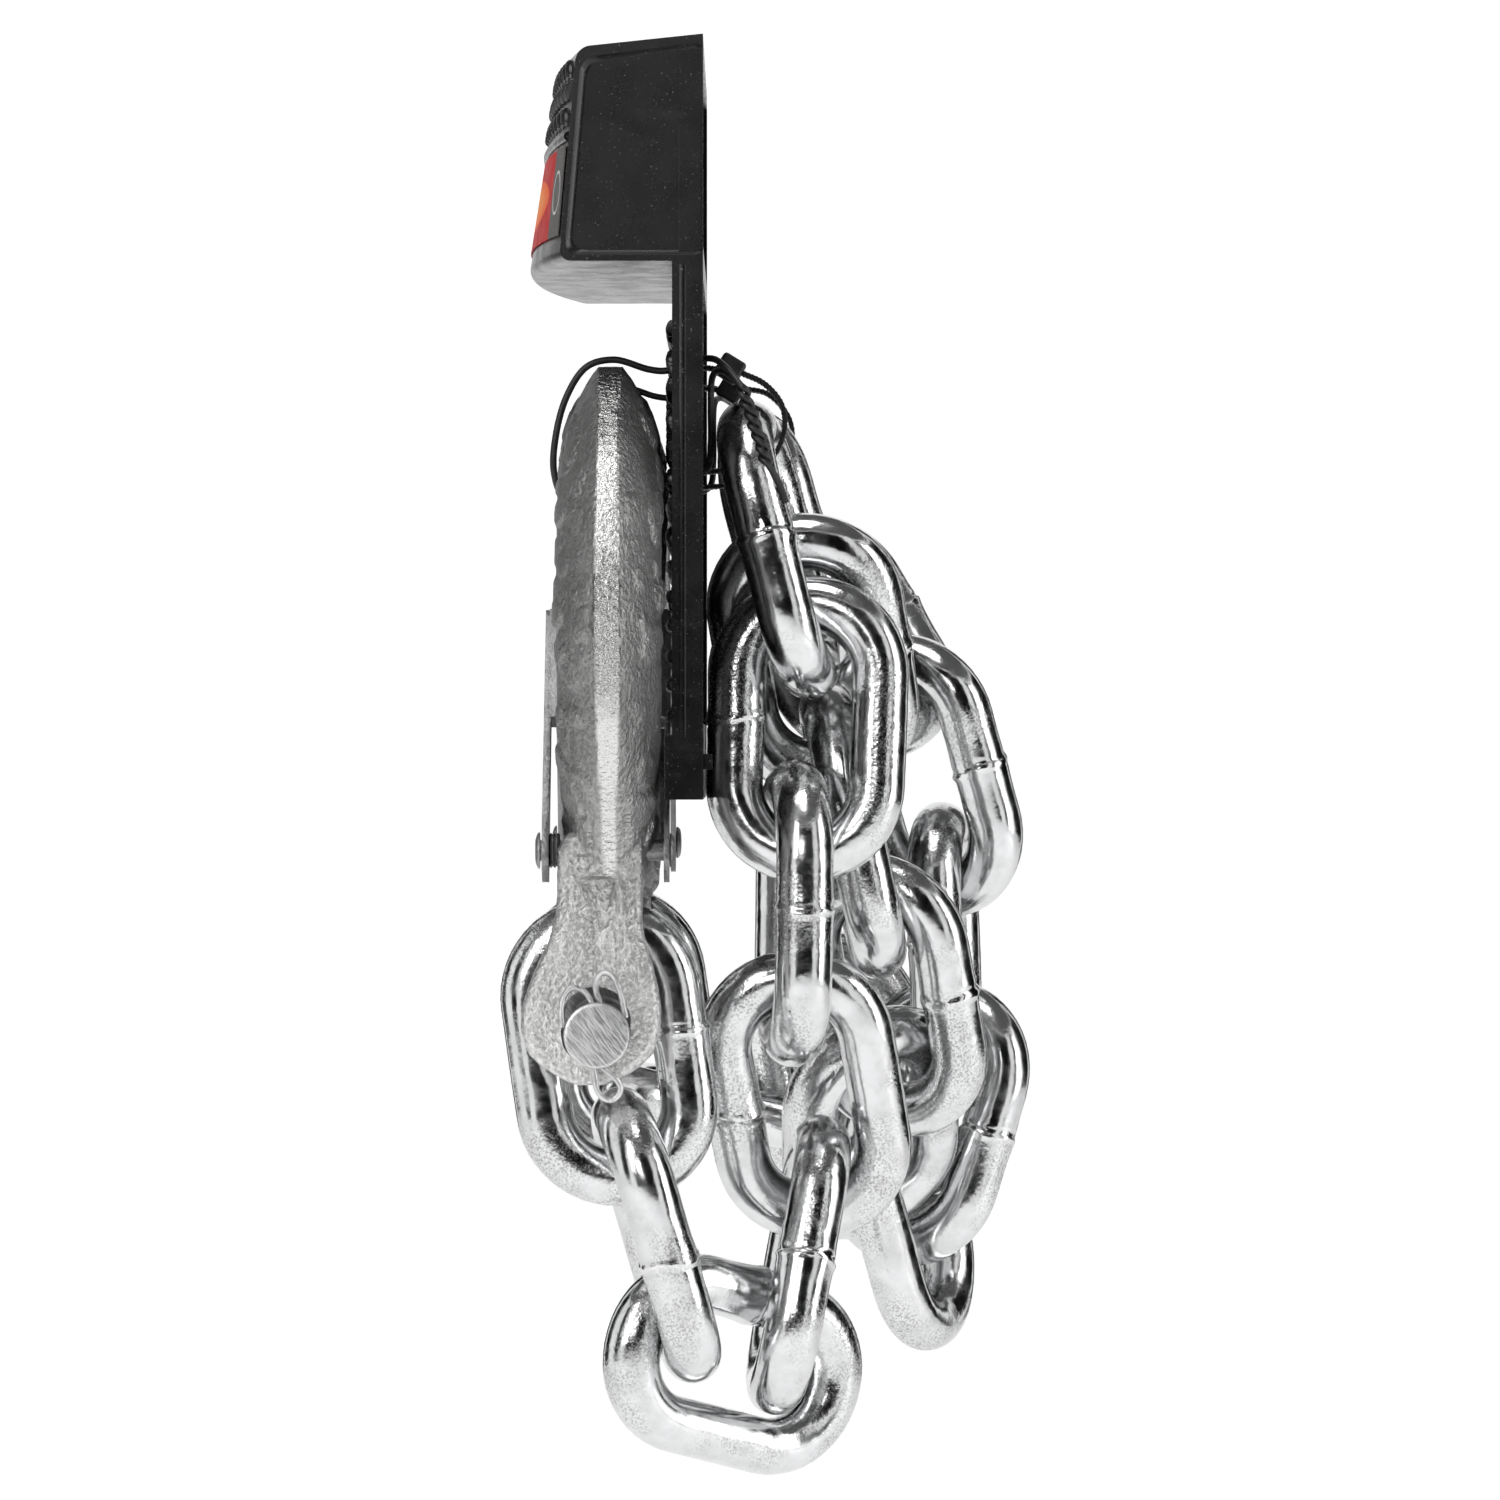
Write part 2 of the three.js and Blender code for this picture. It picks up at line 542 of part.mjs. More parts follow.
function latchGeometry() {
  // a U of sheet: two side plates that straddle the forging, joined along the inside
  const l = LATCH;
  const tip = [-21.4, 61.4]; // where its free end rests, from the pin's centre
  const along = V(tip[0] - l.x, 0, tip[1] - l.z);
  const length = along.length();
  const plate = new THREE.Shape([
    new THREE.Vector2(-3.2, -4.2), new THREE.Vector2(2.6, -3.6), new THREE.Vector2(4.4, 2),
    new THREE.Vector2(2.6, length - 1), new THREE.Vector2(-0.4, length), new THREE.Vector2(-3.4, 6),
    new THREE.Vector2(-4.4, 0),
  ]);
  let solid = null;
  for (const y of [-l.half - l.wall, l.half]) {
    const side = new THREE.ExtrudeGeometry(plate, { depth: l.wall, bevelEnabled: false });
    side.translate(0, 0, y);
    solid = solid ? solid.add(toSolid(side)) : toSolid(side);
  }
  const web = new THREE.Shape([
    new THREE.Vector2(2.6, 20), new THREE.Vector2(3.6, 20), new THREE.Vector2(2.6, length - 1),
    new THREE.Vector2(1.5, length - 1),
  ]);
  const back = new THREE.ExtrudeGeometry(web, { depth: 2 * l.half + 1, bevelEnabled: false });
  back.translate(0, 0, -l.half - 0.5);
  solid = solid.add(toSolid(back));
  const bore = new THREE.CylinderGeometry(1.9, 1.9, 40, 12);
  bore.rotateX(Math.PI / 2);
  solid = solid.subtract(toSolid(bore));
  const geometry = toGeometry(solid);
  // shape x -> away from the throat, shape y -> along the latch, depth -> the hook's y
  const up = along.normalize();
  const out = V(up.z, 0, -up.x);
  geometry.applyMatrix4(new THREE.Matrix4().makeBasis(out, up, V(0, -1, 0)));
  geometry.translate(l.x, HOOK_SHIFT, l.z);
  return geometry;
}

function rivetGeometry() {
  const l = LATCH;
  const reach = l.half + l.wall + 0.3;
  let solid = toSolid(rod(1.55, V(l.x, HOOK_SHIFT - reach - 0.5, l.z), V(l.x, HOOK_SHIFT + reach + 0.5, l.z), 12));
  for (const side of [-1, 1]) {
    const y = HOOK_SHIFT + side * reach;
    solid = solid.add(toSolid(rod(2.9, V(l.x, y, l.z), V(l.x, y + side * 1.1, l.z), 12)));
  }
  return toGeometry(solid);
}

for (const [side, tag] of [[1, 'near'], [-1, 'far']]) {
  const pieces = [
    ['hook', hookGeometry(), 'forged'],
    ['clevis_pin', pinGeometry(), 'pin'],
    ['cotter_pin', cotterGeometry(), 'pin'],
    ['latch', latchGeometry(), 'pin'],
    ['latch_rivet', rivetGeometry(), 'pin'],
  ];
  for (const [name, geometry, look] of pieces) {
    const mesh = add(`${name}_${tag}`, side > 0 ? geometry : mirrored(geometry), look);
    mesh.position.set(side * HOOK_X, PIN.y, PIN.z);
  }
}

// ---- the pack's origin ---------------------------------------------------------------------

const model = new THREE.Group();
model.add(pack);
pack.position.set(0, -CARD.back, -PEG.z);

export default model;
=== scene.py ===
"""A carded safety chain: a black hanger card with a zinc-plated welded chain and a forged clevis hook
on each of its ends, tied on with coated wire and straps."""
import math
import random

import bmesh
import bpy
import numpy as np
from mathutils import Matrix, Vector, noise


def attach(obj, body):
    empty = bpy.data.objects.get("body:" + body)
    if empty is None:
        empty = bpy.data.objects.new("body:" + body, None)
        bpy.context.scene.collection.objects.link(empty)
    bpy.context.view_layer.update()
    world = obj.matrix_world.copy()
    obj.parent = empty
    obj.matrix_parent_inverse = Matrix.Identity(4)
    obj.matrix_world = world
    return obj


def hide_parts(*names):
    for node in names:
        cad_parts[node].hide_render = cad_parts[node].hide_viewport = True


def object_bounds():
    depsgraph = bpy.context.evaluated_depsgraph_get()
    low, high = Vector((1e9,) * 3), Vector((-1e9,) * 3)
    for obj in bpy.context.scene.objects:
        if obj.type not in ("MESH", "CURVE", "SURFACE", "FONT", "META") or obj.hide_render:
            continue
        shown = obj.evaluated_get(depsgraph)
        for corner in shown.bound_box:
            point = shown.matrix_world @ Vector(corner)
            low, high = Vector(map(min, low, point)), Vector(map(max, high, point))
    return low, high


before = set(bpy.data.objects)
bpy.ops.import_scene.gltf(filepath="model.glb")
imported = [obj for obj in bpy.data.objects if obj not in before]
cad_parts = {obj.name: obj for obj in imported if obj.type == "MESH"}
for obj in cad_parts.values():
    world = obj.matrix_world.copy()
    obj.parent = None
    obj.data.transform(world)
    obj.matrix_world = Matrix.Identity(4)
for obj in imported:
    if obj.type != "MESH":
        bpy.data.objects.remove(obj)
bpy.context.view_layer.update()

MM = 0.001
SIDES = ((1, "near"), (-1, "far"))

# The card's own coordinates in the row's, whose origin is the peg's hole; and a hook's pin in the card's.
CARD_ORIGIN = Vector((0.0, 6.8, -94.0))
PIN = Vector((46.0, -22.0, -41.0))

# Chain, in millimetres
WIRE_RADIUS = 4.2
BEND = 10.55
HALF_STRAIGHT = 7.95

# Hanger card, in its own coordinates
HALF_WIDTH = 52.0
CARD_FRONT = -11.3
CARD_BACK = -6.8
CARD_BOTTOM = -7.2
HEADER_BOTTOM = 70.8
HEADER_TOP = 103.7
PEG_Z = 94.0
LABEL_HALF = 50.4
RED_HALF = 41.5
LABEL_HEIGHTS = (74.6, 87.6)


# ---- helpers ---------------------------------------------------------------------------------

def row(x, y, z):
    """A place in the card's coordinates, in millimetres, as a place in the row's, in metres."""
    return (Vector((x, y, z)) + CARD_ORIGIN) * MM


def hook_row(x, y, z, side=1):
    """A place in a hook's own coordinates, from its pin's centre, in the row's."""
    return row(side * (PIN.x + x), PIN.y + y, PIN.z + z)


def clamp(value):
    return max(0.0, min(1.0, value))


def new_object(name, verts, faces):
    """A mesh object from points and faces, with its faces turned outwards."""
    mesh = bpy.data.meshes.new(name)
    mesh.from_pydata([tuple(v) for v in verts], [], [tuple(f) for f in faces])
    mesh.validate()
    bm = bmesh.new()
    bm.from_mesh(mesh)
    bmesh.ops.recalc_face_normals(bm, faces=bm.faces)
    bm.to_mesh(mesh)
    bm.free()
    obj = bpy.data.objects.new(name, mesh)
    bpy.context.scene.collection.objects.link(obj)
    return obj


def bake(obj):
    """Applies every modifier of an object to its mesh."""
    graph = bpy.context.evaluated_depsgraph_get()
    mesh = bpy.data.meshes.new_from_object(obj.evaluated_get(graph))
    obj.modifiers.clear()
    obj.data = mesh


def smooth(obj, angle=None):
    """Shades smooth, with edges sharper than the angle left crisp."""
    for polygon in obj.data.polygons:
        polygon.use_smooth = True
    if angle is not None:
        obj.data.set_sharp_from_angle(angle=math.radians(angle))


def cut(obj, tool, how="DIFFERENCE"):
    """Takes one object out of another, or adds it, and deletes it."""
    change = obj.modifiers.new("cut", "BOOLEAN")
    change.operation = how
    change.solver = "EXACT"
    change.object = tool
    bpy.context.view_layer.update()
    bake(obj)
    bpy.data.objects.remove(tool)


def weigh_normals(obj):
    """Keeps large flat faces flat beside their rounded edges."""
    change = obj.modifiers.new("weigh", "WEIGHTED_NORMAL")
    change.keep_sharp = True
    change.weight = 90
    bake(obj)


def bevel(obj, width, segments=3, angle=32):
    """Rounds the edges sharper than an angle; width is in millimetres."""
    change = obj.modifiers.new("bevel", "BEVEL")
    change.width = width * MM
    change.segments = segments
    change.limit_method = "ANGLE"
    change.angle_limit = math.radians(angle)
    change.harden_normals = False
    bake(obj)


def loft(rings, closed=False):
    """Points and faces of a skin over a row of rings, with flat ends unless it closes on itself."""
    count = len(rings[0])
    verts = [p for ring in rings for p in ring]
    faces = []
    spans = len(rings) if closed else len(rings) - 1
    for i in range(spans):
        for j in range(count):
            a = i * count + j
            b = i * count + (j + 1) % count
            shift = count if i + 1 < len(rings) else -i * count
            faces.append((a, b, b + shift, a + shift))
    if not closed:
        faces.append(tuple(range(count)))
        faces.append(tuple(reversed(range((len(rings) - 1) * count, len(rings) * count))))
    return verts, faces


def block(name, low, high, place=row):
    """A box between two corners, in the given coordinates."""
    (x0, y0, z0), (x1, y1, z1) = low, high
    lower = [(x0, y0, z0), (x1, y0, z0), (x1, y1, z0), (x0, y1, z0)]
    upper = [(x, y, z1) for x, y, _ in lower]
    rings = [[place(*p) for p in lower], [place(*p) for p in upper]]
    return new_object(name, *loft(rings))


def rod(name, start, end, radius, sides=32):
    """A round bar between two places in the row's frame; radius is in metres."""
    way = (end - start).normalized()
    turn = way.to_track_quat("Z", "Y").to_matrix()
    rings = []
    for at in (start, end):
        ring = []
        for i in range(sides):
            a = math.tau * i / sides
            ring.append(at + turn @ Vector((math.cos(a) * radius, math.sin(a) * radius, 0)))
        rings.append(ring)
    return new_object(name, *loft(rings))


def turned(name, start, way, profile, sides=48):
    """A turned piece: profile lists how far along and how far out, in millimetres."""
    turn = way.to_track_quat("Z", "Y").to_matrix()
    rings = []
    for along, out in profile:
        ring = []
        for i in range(sides):
            a = math.tau * i / sides
            ring.append(start + turn @ Vector((math.cos(a) * out, math.sin(a) * out, along)) * MM)
        rings.append(ring)
    return new_object(name, *loft(rings))


def smooth_path(points, per_span=8):
    """Points along a centripetal Catmull-Rom curve through the given ones."""
    ends = [points[0] * 2 - points[1], *points, points[-1] * 2 - points[-2]]
    path = []
    for i in range(1, len(ends) - 2):
        p0, p1, p2, p3 = ends[i - 1:i + 3]
        t1 = (p1 - p0).length ** 0.5
        t2 = t1 + (p2 - p1).length ** 0.5
        t3 = t2 + (p3 - p2).length ** 0.5
        for k in range(per_span):
            t = t1 + (t2 - t1) * k / per_span
            a1 = p0.lerp(p1, t / t1)
            a2 = p1.lerp(p2, (t - t1) / (t2 - t1))
            a3 = p2.lerp(p3, (t - t2) / (t3 - t2))
            b1 = a1.lerp(a2, t / t2)
            b2 = a2.lerp(a3, (t - t1) / (t3 - t1))
            path.append(b1.lerp(b2, (t - t1) / (t2 - t1)))
    path.append(points[-1].copy())
    return path


def swept(name, path, section, taper=None):
    """A section carried along a path without twisting; taper(i) scales it at the path's point i."""
    rings = []
    tangent = (path[1] - path[0]).normalized()
    across = tangent.orthogonal().normalized()
    if abs(tangent.x) < 0.9:
        across = Vector((1, 0, 0)) - tangent * tangent.x
        across.normalize()
    for i, p in enumerate(path):
        ahead = path[min(i + 1, len(path) - 1)]
        behind = path[max(i - 1, 0)]
        way = (ahead - behind).normalized()
        across = (across - way * across.dot(way)).normalized()
        other = way.cross(across)
        scale = taper(i) if taper else 1.0
        rings.append([p + (across * u + other * v) * scale * MM for u, v in section])
    return new_object(name, *loft(rings))


def circle(radius, sides=12):
    return [(radius * math.cos(math.tau * i / sides), radius * math.sin(math.tau * i / sides))
            for i in range(sides)]


def finish_piece(obj, body, nodes, material):
    """Gives a piece its material, its body and the CAD nodes it stands for."""
    obj.data.materials.clear()
    obj.data.materials.append(material)
    if nodes:
        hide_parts(*nodes)
    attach(obj, body)


# ---- materials -------------------------------------------------------------------------------

class Nodes:
    """A material under construction, with short names for the nodes it is made of."""

    def __init__(self, name):
        self.material = bpy.data.materials.new(name)
        self.material.use_nodes = True
        self.tree = self.material.node_tree
        self.shader = self.tree.nodes["Principled BSDF"]
        self.where = self.tree.nodes.new("ShaderNodeTexCoord").outputs["Object"]

    def set(self, **values):
        for key, value in values.items():
            self.shader.inputs[key.replace("_", " ")].default_value = value

    def link(self, output, socket):
        self.tree.links.new(output, socket)

    def noise(self, scale, detail=3.0, roughness=0.5, stretch=None):
        node = self.tree.nodes.new("ShaderNodeTexNoise")
        node.inputs["Scale"].default_value = scale
        node.inputs["Detail"].default_value = detail
        node.inputs["Roughness"].default_value = roughness
        source = self.where
        if stretch:
            mapping = self.tree.nodes.new("ShaderNodeMapping")
            mapping.inputs["Scale"].default_value = stretch
            self.link(self.where, mapping.inputs["Vector"])
            source = mapping.outputs["Vector"]
        self.link(source, node.inputs["Vector"])
        return node.outputs["Fac"]

    def cells(self, scale):
        node = self.tree.nodes.new("ShaderNodeTexVoronoi")
        node.inputs["Scale"].default_value = scale
        self.link(self.where, node.inputs["Vector"])
        return node.outputs["Distance"]

    def attribute(self, name):
        node = self.tree.nodes.new("ShaderNodeAttribute")
        node.attribute_name = name
        return node.outputs["Fac"]

    def ramp(self, value, low, high, start, end):
        """Maps low..high to start..end and holds it there outside."""
        node = self.tree.nodes.new("ShaderNodeMapRange")
        self.link(value, node.inputs["Value"])
        for key, number in zip(("From Min", "From Max", "To Min", "To Max"), (low, high, start, end)):
            node.inputs[key].default_value = number
        return node.outputs["Result"]

    def math(self, how, a, b=0.0):
        node = self.tree.nodes.new("ShaderNodeMath")
        node.operation = how
        for socket, value in zip(node.inputs, (a, b)):
            if isinstance(value, (int, float)):
                socket.default_value = value
            else:
                self.link(value, socket)
        return node.outputs[0]

    def mix(self, share, a, b):
        node = self.tree.nodes.new("ShaderNodeMix")
        node.data_type = "RGBA"
        self.link(share, node.inputs[0])
        for socket, value in zip((node.inputs[6], node.inputs[7]), (a, b)):
            if isinstance(value, tuple):
                socket.default_value = (*value, 1.0)
            else:
                self.link(value, socket)
        return node.outputs[2]

    def bump(self, *layers):
        """Stacks bumps: (height, strength, distance in metres)."""
        last = None
        for height, strength, distance in layers:
            node = self.tree.nodes.new("ShaderNodeBump")
            node.inputs["Strength"].default_value = strength
            node.inputs["Distance"].default_value = distance
            self.link(height, node.inputs["Height"])
            if last:
                self.link(last, node.inputs["Normal"])
            last = node.outputs["Normal"]
        self.link(last, self.shader.inputs["Normal"])


def zinc_material():
    """Bright zinc plate over drawn wire, with dull speckled patches and faint draw lines."""
    m = Nodes("bright_zinc")
    m.set(Metallic=1.0)
    patches = m.ramp(m.noise(95, 3), 0.48, 0.64, 0.0, 1.0)
    speckle = m.ramp(m.noise(2700, 2, 0.6), 0.46, 0.62, 0.0, 0.8)
    dull = m.math("MULTIPLY", patches, speckle)
    stain = m.ramp(m.noise(260, 4, 0.6), 0.42, 0.75, 0.0, 0.55)
    weld = m.attribute("weld")
    base = m.mix(stain, (0.74, 0.745, 0.75), (0.50, 0.50, 0.50))
    base = m.mix(dull, base, (0.34, 0.34, 0.34))
    base = m.mix(m.math("MULTIPLY", weld, 0.5), base, (0.9, 0.9, 0.9))
    m.link(base, m.shader.inputs["Base Color"])
    rough = m.ramp(m.noise(420, 3), 0.3, 0.7, 0.10, 0.22)
    rough = m.math("ADD", rough, m.math("MULTIPLY", dull, 0.22))
    m.link(rough, m.shader.inputs["Roughness"])
    m.bump(
        (m.noise(160, 2), 0.35, 0.0006),
        (m.math("MULTIPLY", m.noise(1500, 2), m.ramp(patches, 0, 1, 0.25, 1.0)), 0.30, 0.0002),
    )
    return m.material


def forged_material():
    """Zinc plate over a blasted forging: coarse grain, a brighter trimmed seam and painted light on its lower
    part.
    """
    m = Nodes("forged_zinc")
    m.set(Metallic=1.0)
    grain = m.noise(1300, 3, 0.6)
    pits = m.cells(900)
    strip = m.attribute("seam")
    cloud = m.ramp(m.noise(70, 4), 0.35, 0.65, 0.0, 1.0)
    base = m.mix(cloud, (0.27, 0.27, 0.265), (0.40, 0.40, 0.395))
    # painted light: colour lightened towards the bottom of the forging, round its ears, for light falling
    # there
    base = m.mix(m.attribute("painted_light_low"), base, (0.82, 0.82, 0.81))
    base = m.mix(m.ramp(grain, 0.35, 0.62, 0.5, 0.0), base, (0.13, 0.13, 0.13))
    trimmed = m.math("MULTIPLY", m.ramp(m.noise(4200, 2, 0.6), 0.40, 0.56, 0.35, 1.0),
                     m.attribute("saw_marks"))
    saw = m.mix(trimmed, (0.80, 0.80, 0.79), (0.16, 0.16, 0.16))
    base = m.mix(strip, base, saw)
    m.link(base, m.shader.inputs["Base Color"])
    rough = m.ramp(grain, 0.3, 0.7, 0.44, 0.30)
    rough = m.math("SUBTRACT", rough, m.math("MULTIPLY", strip, 0.16))
    m.link(rough, m.shader.inputs["Roughness"])
    m.bump(
        (m.noise(240, 3), 0.5, 0.0008),
        (grain, 0.85, 0.0005),
        (m.ramp(pits, 0.0, 0.35, 0.0, 1.0), 0.35, 0.0002),
        (m.math("MULTIPLY", m.noise(1400, 2, stretch=(1.0, 0.12, 1.0)), strip), 0.5, 0.0003),
    )
    return m.material


def pin_material(name, light, dark):
    """Cut and plated steel, a little dull, with fine crossing tool marks."""
    m = Nodes(name)
    m.set(Metallic=1.0)
    turn = m.tree.nodes.new("ShaderNodeMapping")
    turn.inputs["Rotation"].default_value = (math.radians(38), 0, 0)
    turn.vector_type = "TEXTURE"
    turn.inputs["Scale"].default_value = (1.0, 1.0, 6.0)
    m.link(m.where, turn.inputs["Vector"])
    saw = m.tree.nodes.new("ShaderNodeTexNoise")
    saw.inputs["Scale"].default_value = 3600
    m.link(turn.outputs["Vector"], saw.inputs["Vector"])
    marks = saw.outputs["Fac"]
    cloud = m.ramp(m.noise(220, 3), 0.35, 0.7, 0.0, 1.0)
    base = m.mix(cloud, (light, light, light), (dark, dark, dark))
    base = m.mix(m.ramp(marks, 0.36, 0.50, 0.45, 0.0), base, (dark / 2, dark / 2, dark / 2))
    m.link(base, m.shader.inputs["Base Color"])
    m.link(m.ramp(marks, 0.3, 0.7, 0.30, 0.46), m.shader.inputs["Roughness"])
    m.bump((marks, 0.5, 0.0002), (m.noise(700, 2), 0.3, 0.0003))
    return m.material


def card_material():
    """Black injection moulding: satin, with a fine spark texture, dust and small rubs."""
    m = Nodes("black_moulding")
    dust = m.ramp(m.noise(2600, 1, 0.5), 0.70, 0.76, 0.0, 0.35)
    rubs = m.ramp(m.noise(130, 5, 0.65, stretch=(1.0, 1.0, 3.0)), 0.56, 0.72, 0.0, 0.5)
    base = m.mix(rubs, (0.004, 0.004, 0.0045), (0.010, 0.010, 0.0105))
    base = m.mix(dust, base, (0.30, 0.30, 0.30))
    m.link(base, m.shader.inputs["Base Color"])
    rough = m.ramp(m.noise(180, 4), 0.3, 0.7, 0.22, 0.32)
    m.link(m.math("ADD", rough, m.math("MULTIPLY", rubs, 0.10)), m.shader.inputs["Roughness"])
    m.bump((m.noise(60, 2), 0.03, 0.0006), (m.noise(1700, 2), 0.06, 0.0001))
    return m.material


def label_material(low, high):
    """Glossy printed sheet: a grey band, a red field, an orange oval and a thin pale ring."""
    m = Nodes("printed_sheet")
    m.set(IOR=1.4, Specular_IOR_Level=0.25)
    split = m.tree.nodes.new("ShaderNodeSeparateXYZ")
    m.link(m.where, split.inputs[0])
    across = m.ramp(split.outputs["X"], low.x, high.x, -1.0, 1.0)
    up = m.ramp(split.outputs["Z"], low.z, high.z, -1.0, 1.0)

    def oval(centre, wide, tall):
        u = m.math("DIVIDE", m.math("SUBTRACT", across, centre), wide)
        v = m.math("DIVIDE", up, tall)
        return m.math("ADD", m.math("MULTIPLY", u, u), m.math("MULTIPLY", v, v))

    edge = RED_HALF / LABEL_HALF
    red = m.ramp(m.math("ABSOLUTE", across), edge, edge + 0.004, 1.0, 0.0)
    orange = m.ramp(oval(0.0, 0.745, 0.66), 0.98, 1.02, 1.0, 0.0)
    glow = m.ramp(oval(0.0, 0.745, 0.66), 0.3, 1.0, 1.0, 0.0)
    ring_shape = oval((edge + 1) / 2, (1 - edge) * 0.36, 0.50)
    outer = m.ramp(ring_shape, 0.98, 1.02, 1.0, 0.0)
    inner = m.ramp(ring_shape, 0.74, 0.78, 1.0, 0.0)
    ring = m.math("SUBTRACT", outer, inner)
    fibres = m.ramp(m.noise(900, 2), 0.3, 0.7, 0.0, 0.12)
    base = m.mix(fibres, (0.115, 0.11, 0.105), (0.16, 0.155, 0.15))
    base = m.mix(red, base, (0.50, 0.008, 0.008))
    base = m.mix(orange, base, (0.80, 0.10, 0.012))
    base = m.mix(m.math("MULTIPLY", orange, m.math("MULTIPLY", glow, 0.6)), base, (0.95, 0.42, 0.08))
    base = m.mix(ring, base, (0.62, 0.62, 0.62))
    m.link(base, m.shader.inputs["Base Color"])
    m.link(m.ramp(m.noise(300, 3), 0.3, 0.7, 0.40, 0.52), m.shader.inputs["Roughness"])
    m.bump((m.noise(90, 2), 0.12, 0.0004))
    return m.material


def coating_material(name, grain):
    """Black vinyl or nylon with a soft sheen and small scuffs."""
    m = Nodes(name)
    scuffs = m.ramp(m.noise(800, 3, 0.6), 0.58, 0.74, 0.0, 0.6)
    m.link(m.mix(scuffs, (0.012, 0.012, 0.012), (0.055, 0.055, 0.055)), m.shader.inputs["Base Color"])
    m.link(m.ramp(m.noise(500, 3), 0.3, 0.7, 0.30, 0.46), m.shader.inputs["Roughness"])
    m.bump((m.noise(grain, 2), 0.25, 0.0002))
    return m.material


zinc = zinc_material()
forged = forged_material()
plated = pin_material("plated_steel", 0.80, 0.66)
sprung = pin_material("sprung_steel", 0.34, 0.24)
moulding = card_material()
vinyl = coating_material("black_vinyl", 1200)
nylon = coating_material("black_nylon", 2200)


# ---- chain -----------------------------------------------------------------------------------

def link_frame(node):
    """A link's centre and its long, wide and through directions, from its CAD solid."""
    at = np.array([tuple(v.co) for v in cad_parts[node].data.vertices])
    middle = at.mean(axis=0)
    _, _, axes = np.linalg.svd(at - middle, full_matrices=False)
    reach = (at - middle) @ axes.T
    middle = middle + ((reach.min(axis=0) + reach.max(axis=0)) / 2) @ axes
    return Vector(middle), [Vector(a) for a in axes]


def link_stations():
    """Places round a link's wire: (wide, long, outward angle, signed distance from a limb's middle)."""
    stations = []
    turns = 26
    for half, start in ((1, 0.0), (-1, math.pi)):
        for i in range(turns):
            a = start + math.pi * i / turns
            stations.append((BEND * math.cos(a), half * HALF_STRAIGHT + BEND * math.sin(a), a, None))
        limb = -half
        coarse = [round((-1 + 2 * i / 9) * HALF_STRAIGHT, 3) for i in range(10)]
        fine = sorted({*coarse, *(i * 0.42 for i in range(-7, 8))})
        for along in fine[:-1]:
            stations.append((limb * BEND, -along * half, start + math.pi, -along * half))
    return stations


STATIONS = link_stations()

# Which limb holds the butt weld where it is plain to see: 1 towards the back of the pack, -1 its front.
WELD_SIDE = {1: 1, 2: -1, 3: 1, 5: -1, 7: -1, 15: 1}


def make_link(number):
    """One link, skinned over its CAD solid's own place: wire, butt weld and slight unevenness."""
    node = f"chain_link_{number:02d}"
    centre, (long, wide, through) = link_frame(node)
    side = WELD_SIDE.get(number, 1)
    if wide.dot(Vector((0.35, side, 0.1))) < 0:
        wide = -wide
    through = wide.cross(long)
    rng = random.Random(number)
    phase = rng.uniform(0, math.tau)
    offset = rng.uniform(-1.4, 1.4)
    sides = 28
    rings = []
    welds = []
    for u, v, angle, along in STATIONS:
        out = wide * math.cos(angle) + long * math.sin(angle)
        middle = centre + (wide * u + long * v) * MM
        ring = []
        for k in range(sides):
            a = math.tau * k / sides
            radius = WIRE_RADIUS
            weld = 0.0
            if along is not None and u > 0:
                bead = 0.5 * math.sin(a + phase) + 0.35 * math.sin(3 * a + 2 * phase)
                d = along - offset - bead
                weld = math.exp(-(d / 0.42) ** 2)
                swell = math.exp(-((along - offset) / 2.2) ** 2)
                radius += 0.20 * swell + 0.30 * weld * (0.7 + 0.3 * math.sin(5 * a + phase))
                radius -= 0.16 * math.exp(-((d - 0.9) / 0.4) ** 2)
            point = middle + (out * math.cos(a) + through * math.sin(a)) * radius * MM
            wobble = noise.noise(point * 90 + Vector((number, 0, 0))) * 0.10
            point += (out * math.cos(a) + through * math.sin(a)) * wobble * MM
            ring.append(point)
            welds.append(weld)
        rings.append(ring)
    obj = new_object(f"link_{number:02d}", *loft(rings, closed=True))
    layer = obj.data.attributes.new("weld", "FLOAT", "POINT")
    layer.data.foreach_set("value", welds)
    smooth(obj)
    finish_piece(obj, "pack", [node], zinc)


for number in range(1, 24):
    make_link(number)


# ---- hooks -----------------------------------------------------------------------------------

FORGING_Y = 1.7  # the forging's middle plane, from the pin's centre
SLOT_HALF = 5.25
SLOT_TOP = 16.2
PIN_HOLE_RADIUS = 5.05
VOXEL = 0.00052  # in metres

# The forging's centre line in its own plane: x, z, half depth, half width.
HOOK_LINE = (
    (0.6, 16, 6.0, 5.9), (2.0, 23, 6.4, 6.3), (6, 32, 7.4, 7.1), (13.5, 43, 8.2, 7.6),
    (19.5, 55, 8.7, 7.6), (20.5, 66, 8.9, 7.6), (16.5, 77, 8.9, 7.6), (8, 85.5, 8.8, 7.6),
    (-3, 88.2, 8.6, 7.6), (-14, 85.5, 8.2, 7.6), (-22.5, 77.5, 7.8, 7.5), (-26.8, 67, 7.0, 7.2),
    (-28.2, 57, 6.2, 6.7), (-29.5, 49, 4.6, 5.4), (-31.0, 43.5, 2.4, 3.0),
)

# Half of its section: how far out of the bend, and how wide, from the trimmed seam to the inside.
HOOK_HALF = (
    (1.0, 0.0), (1.0, 0.225), (0.93, 0.30), (0.75, 0.44), (0.45, 0.62), (0.1, 0.77), (-0.25, 0.89),
    (-0.55, 0.97), (-0.74, 1.0), (-0.88, 0.93), (-0.97, 0.72), (-1.0, 0.4), (-1.0, 0.0),
)


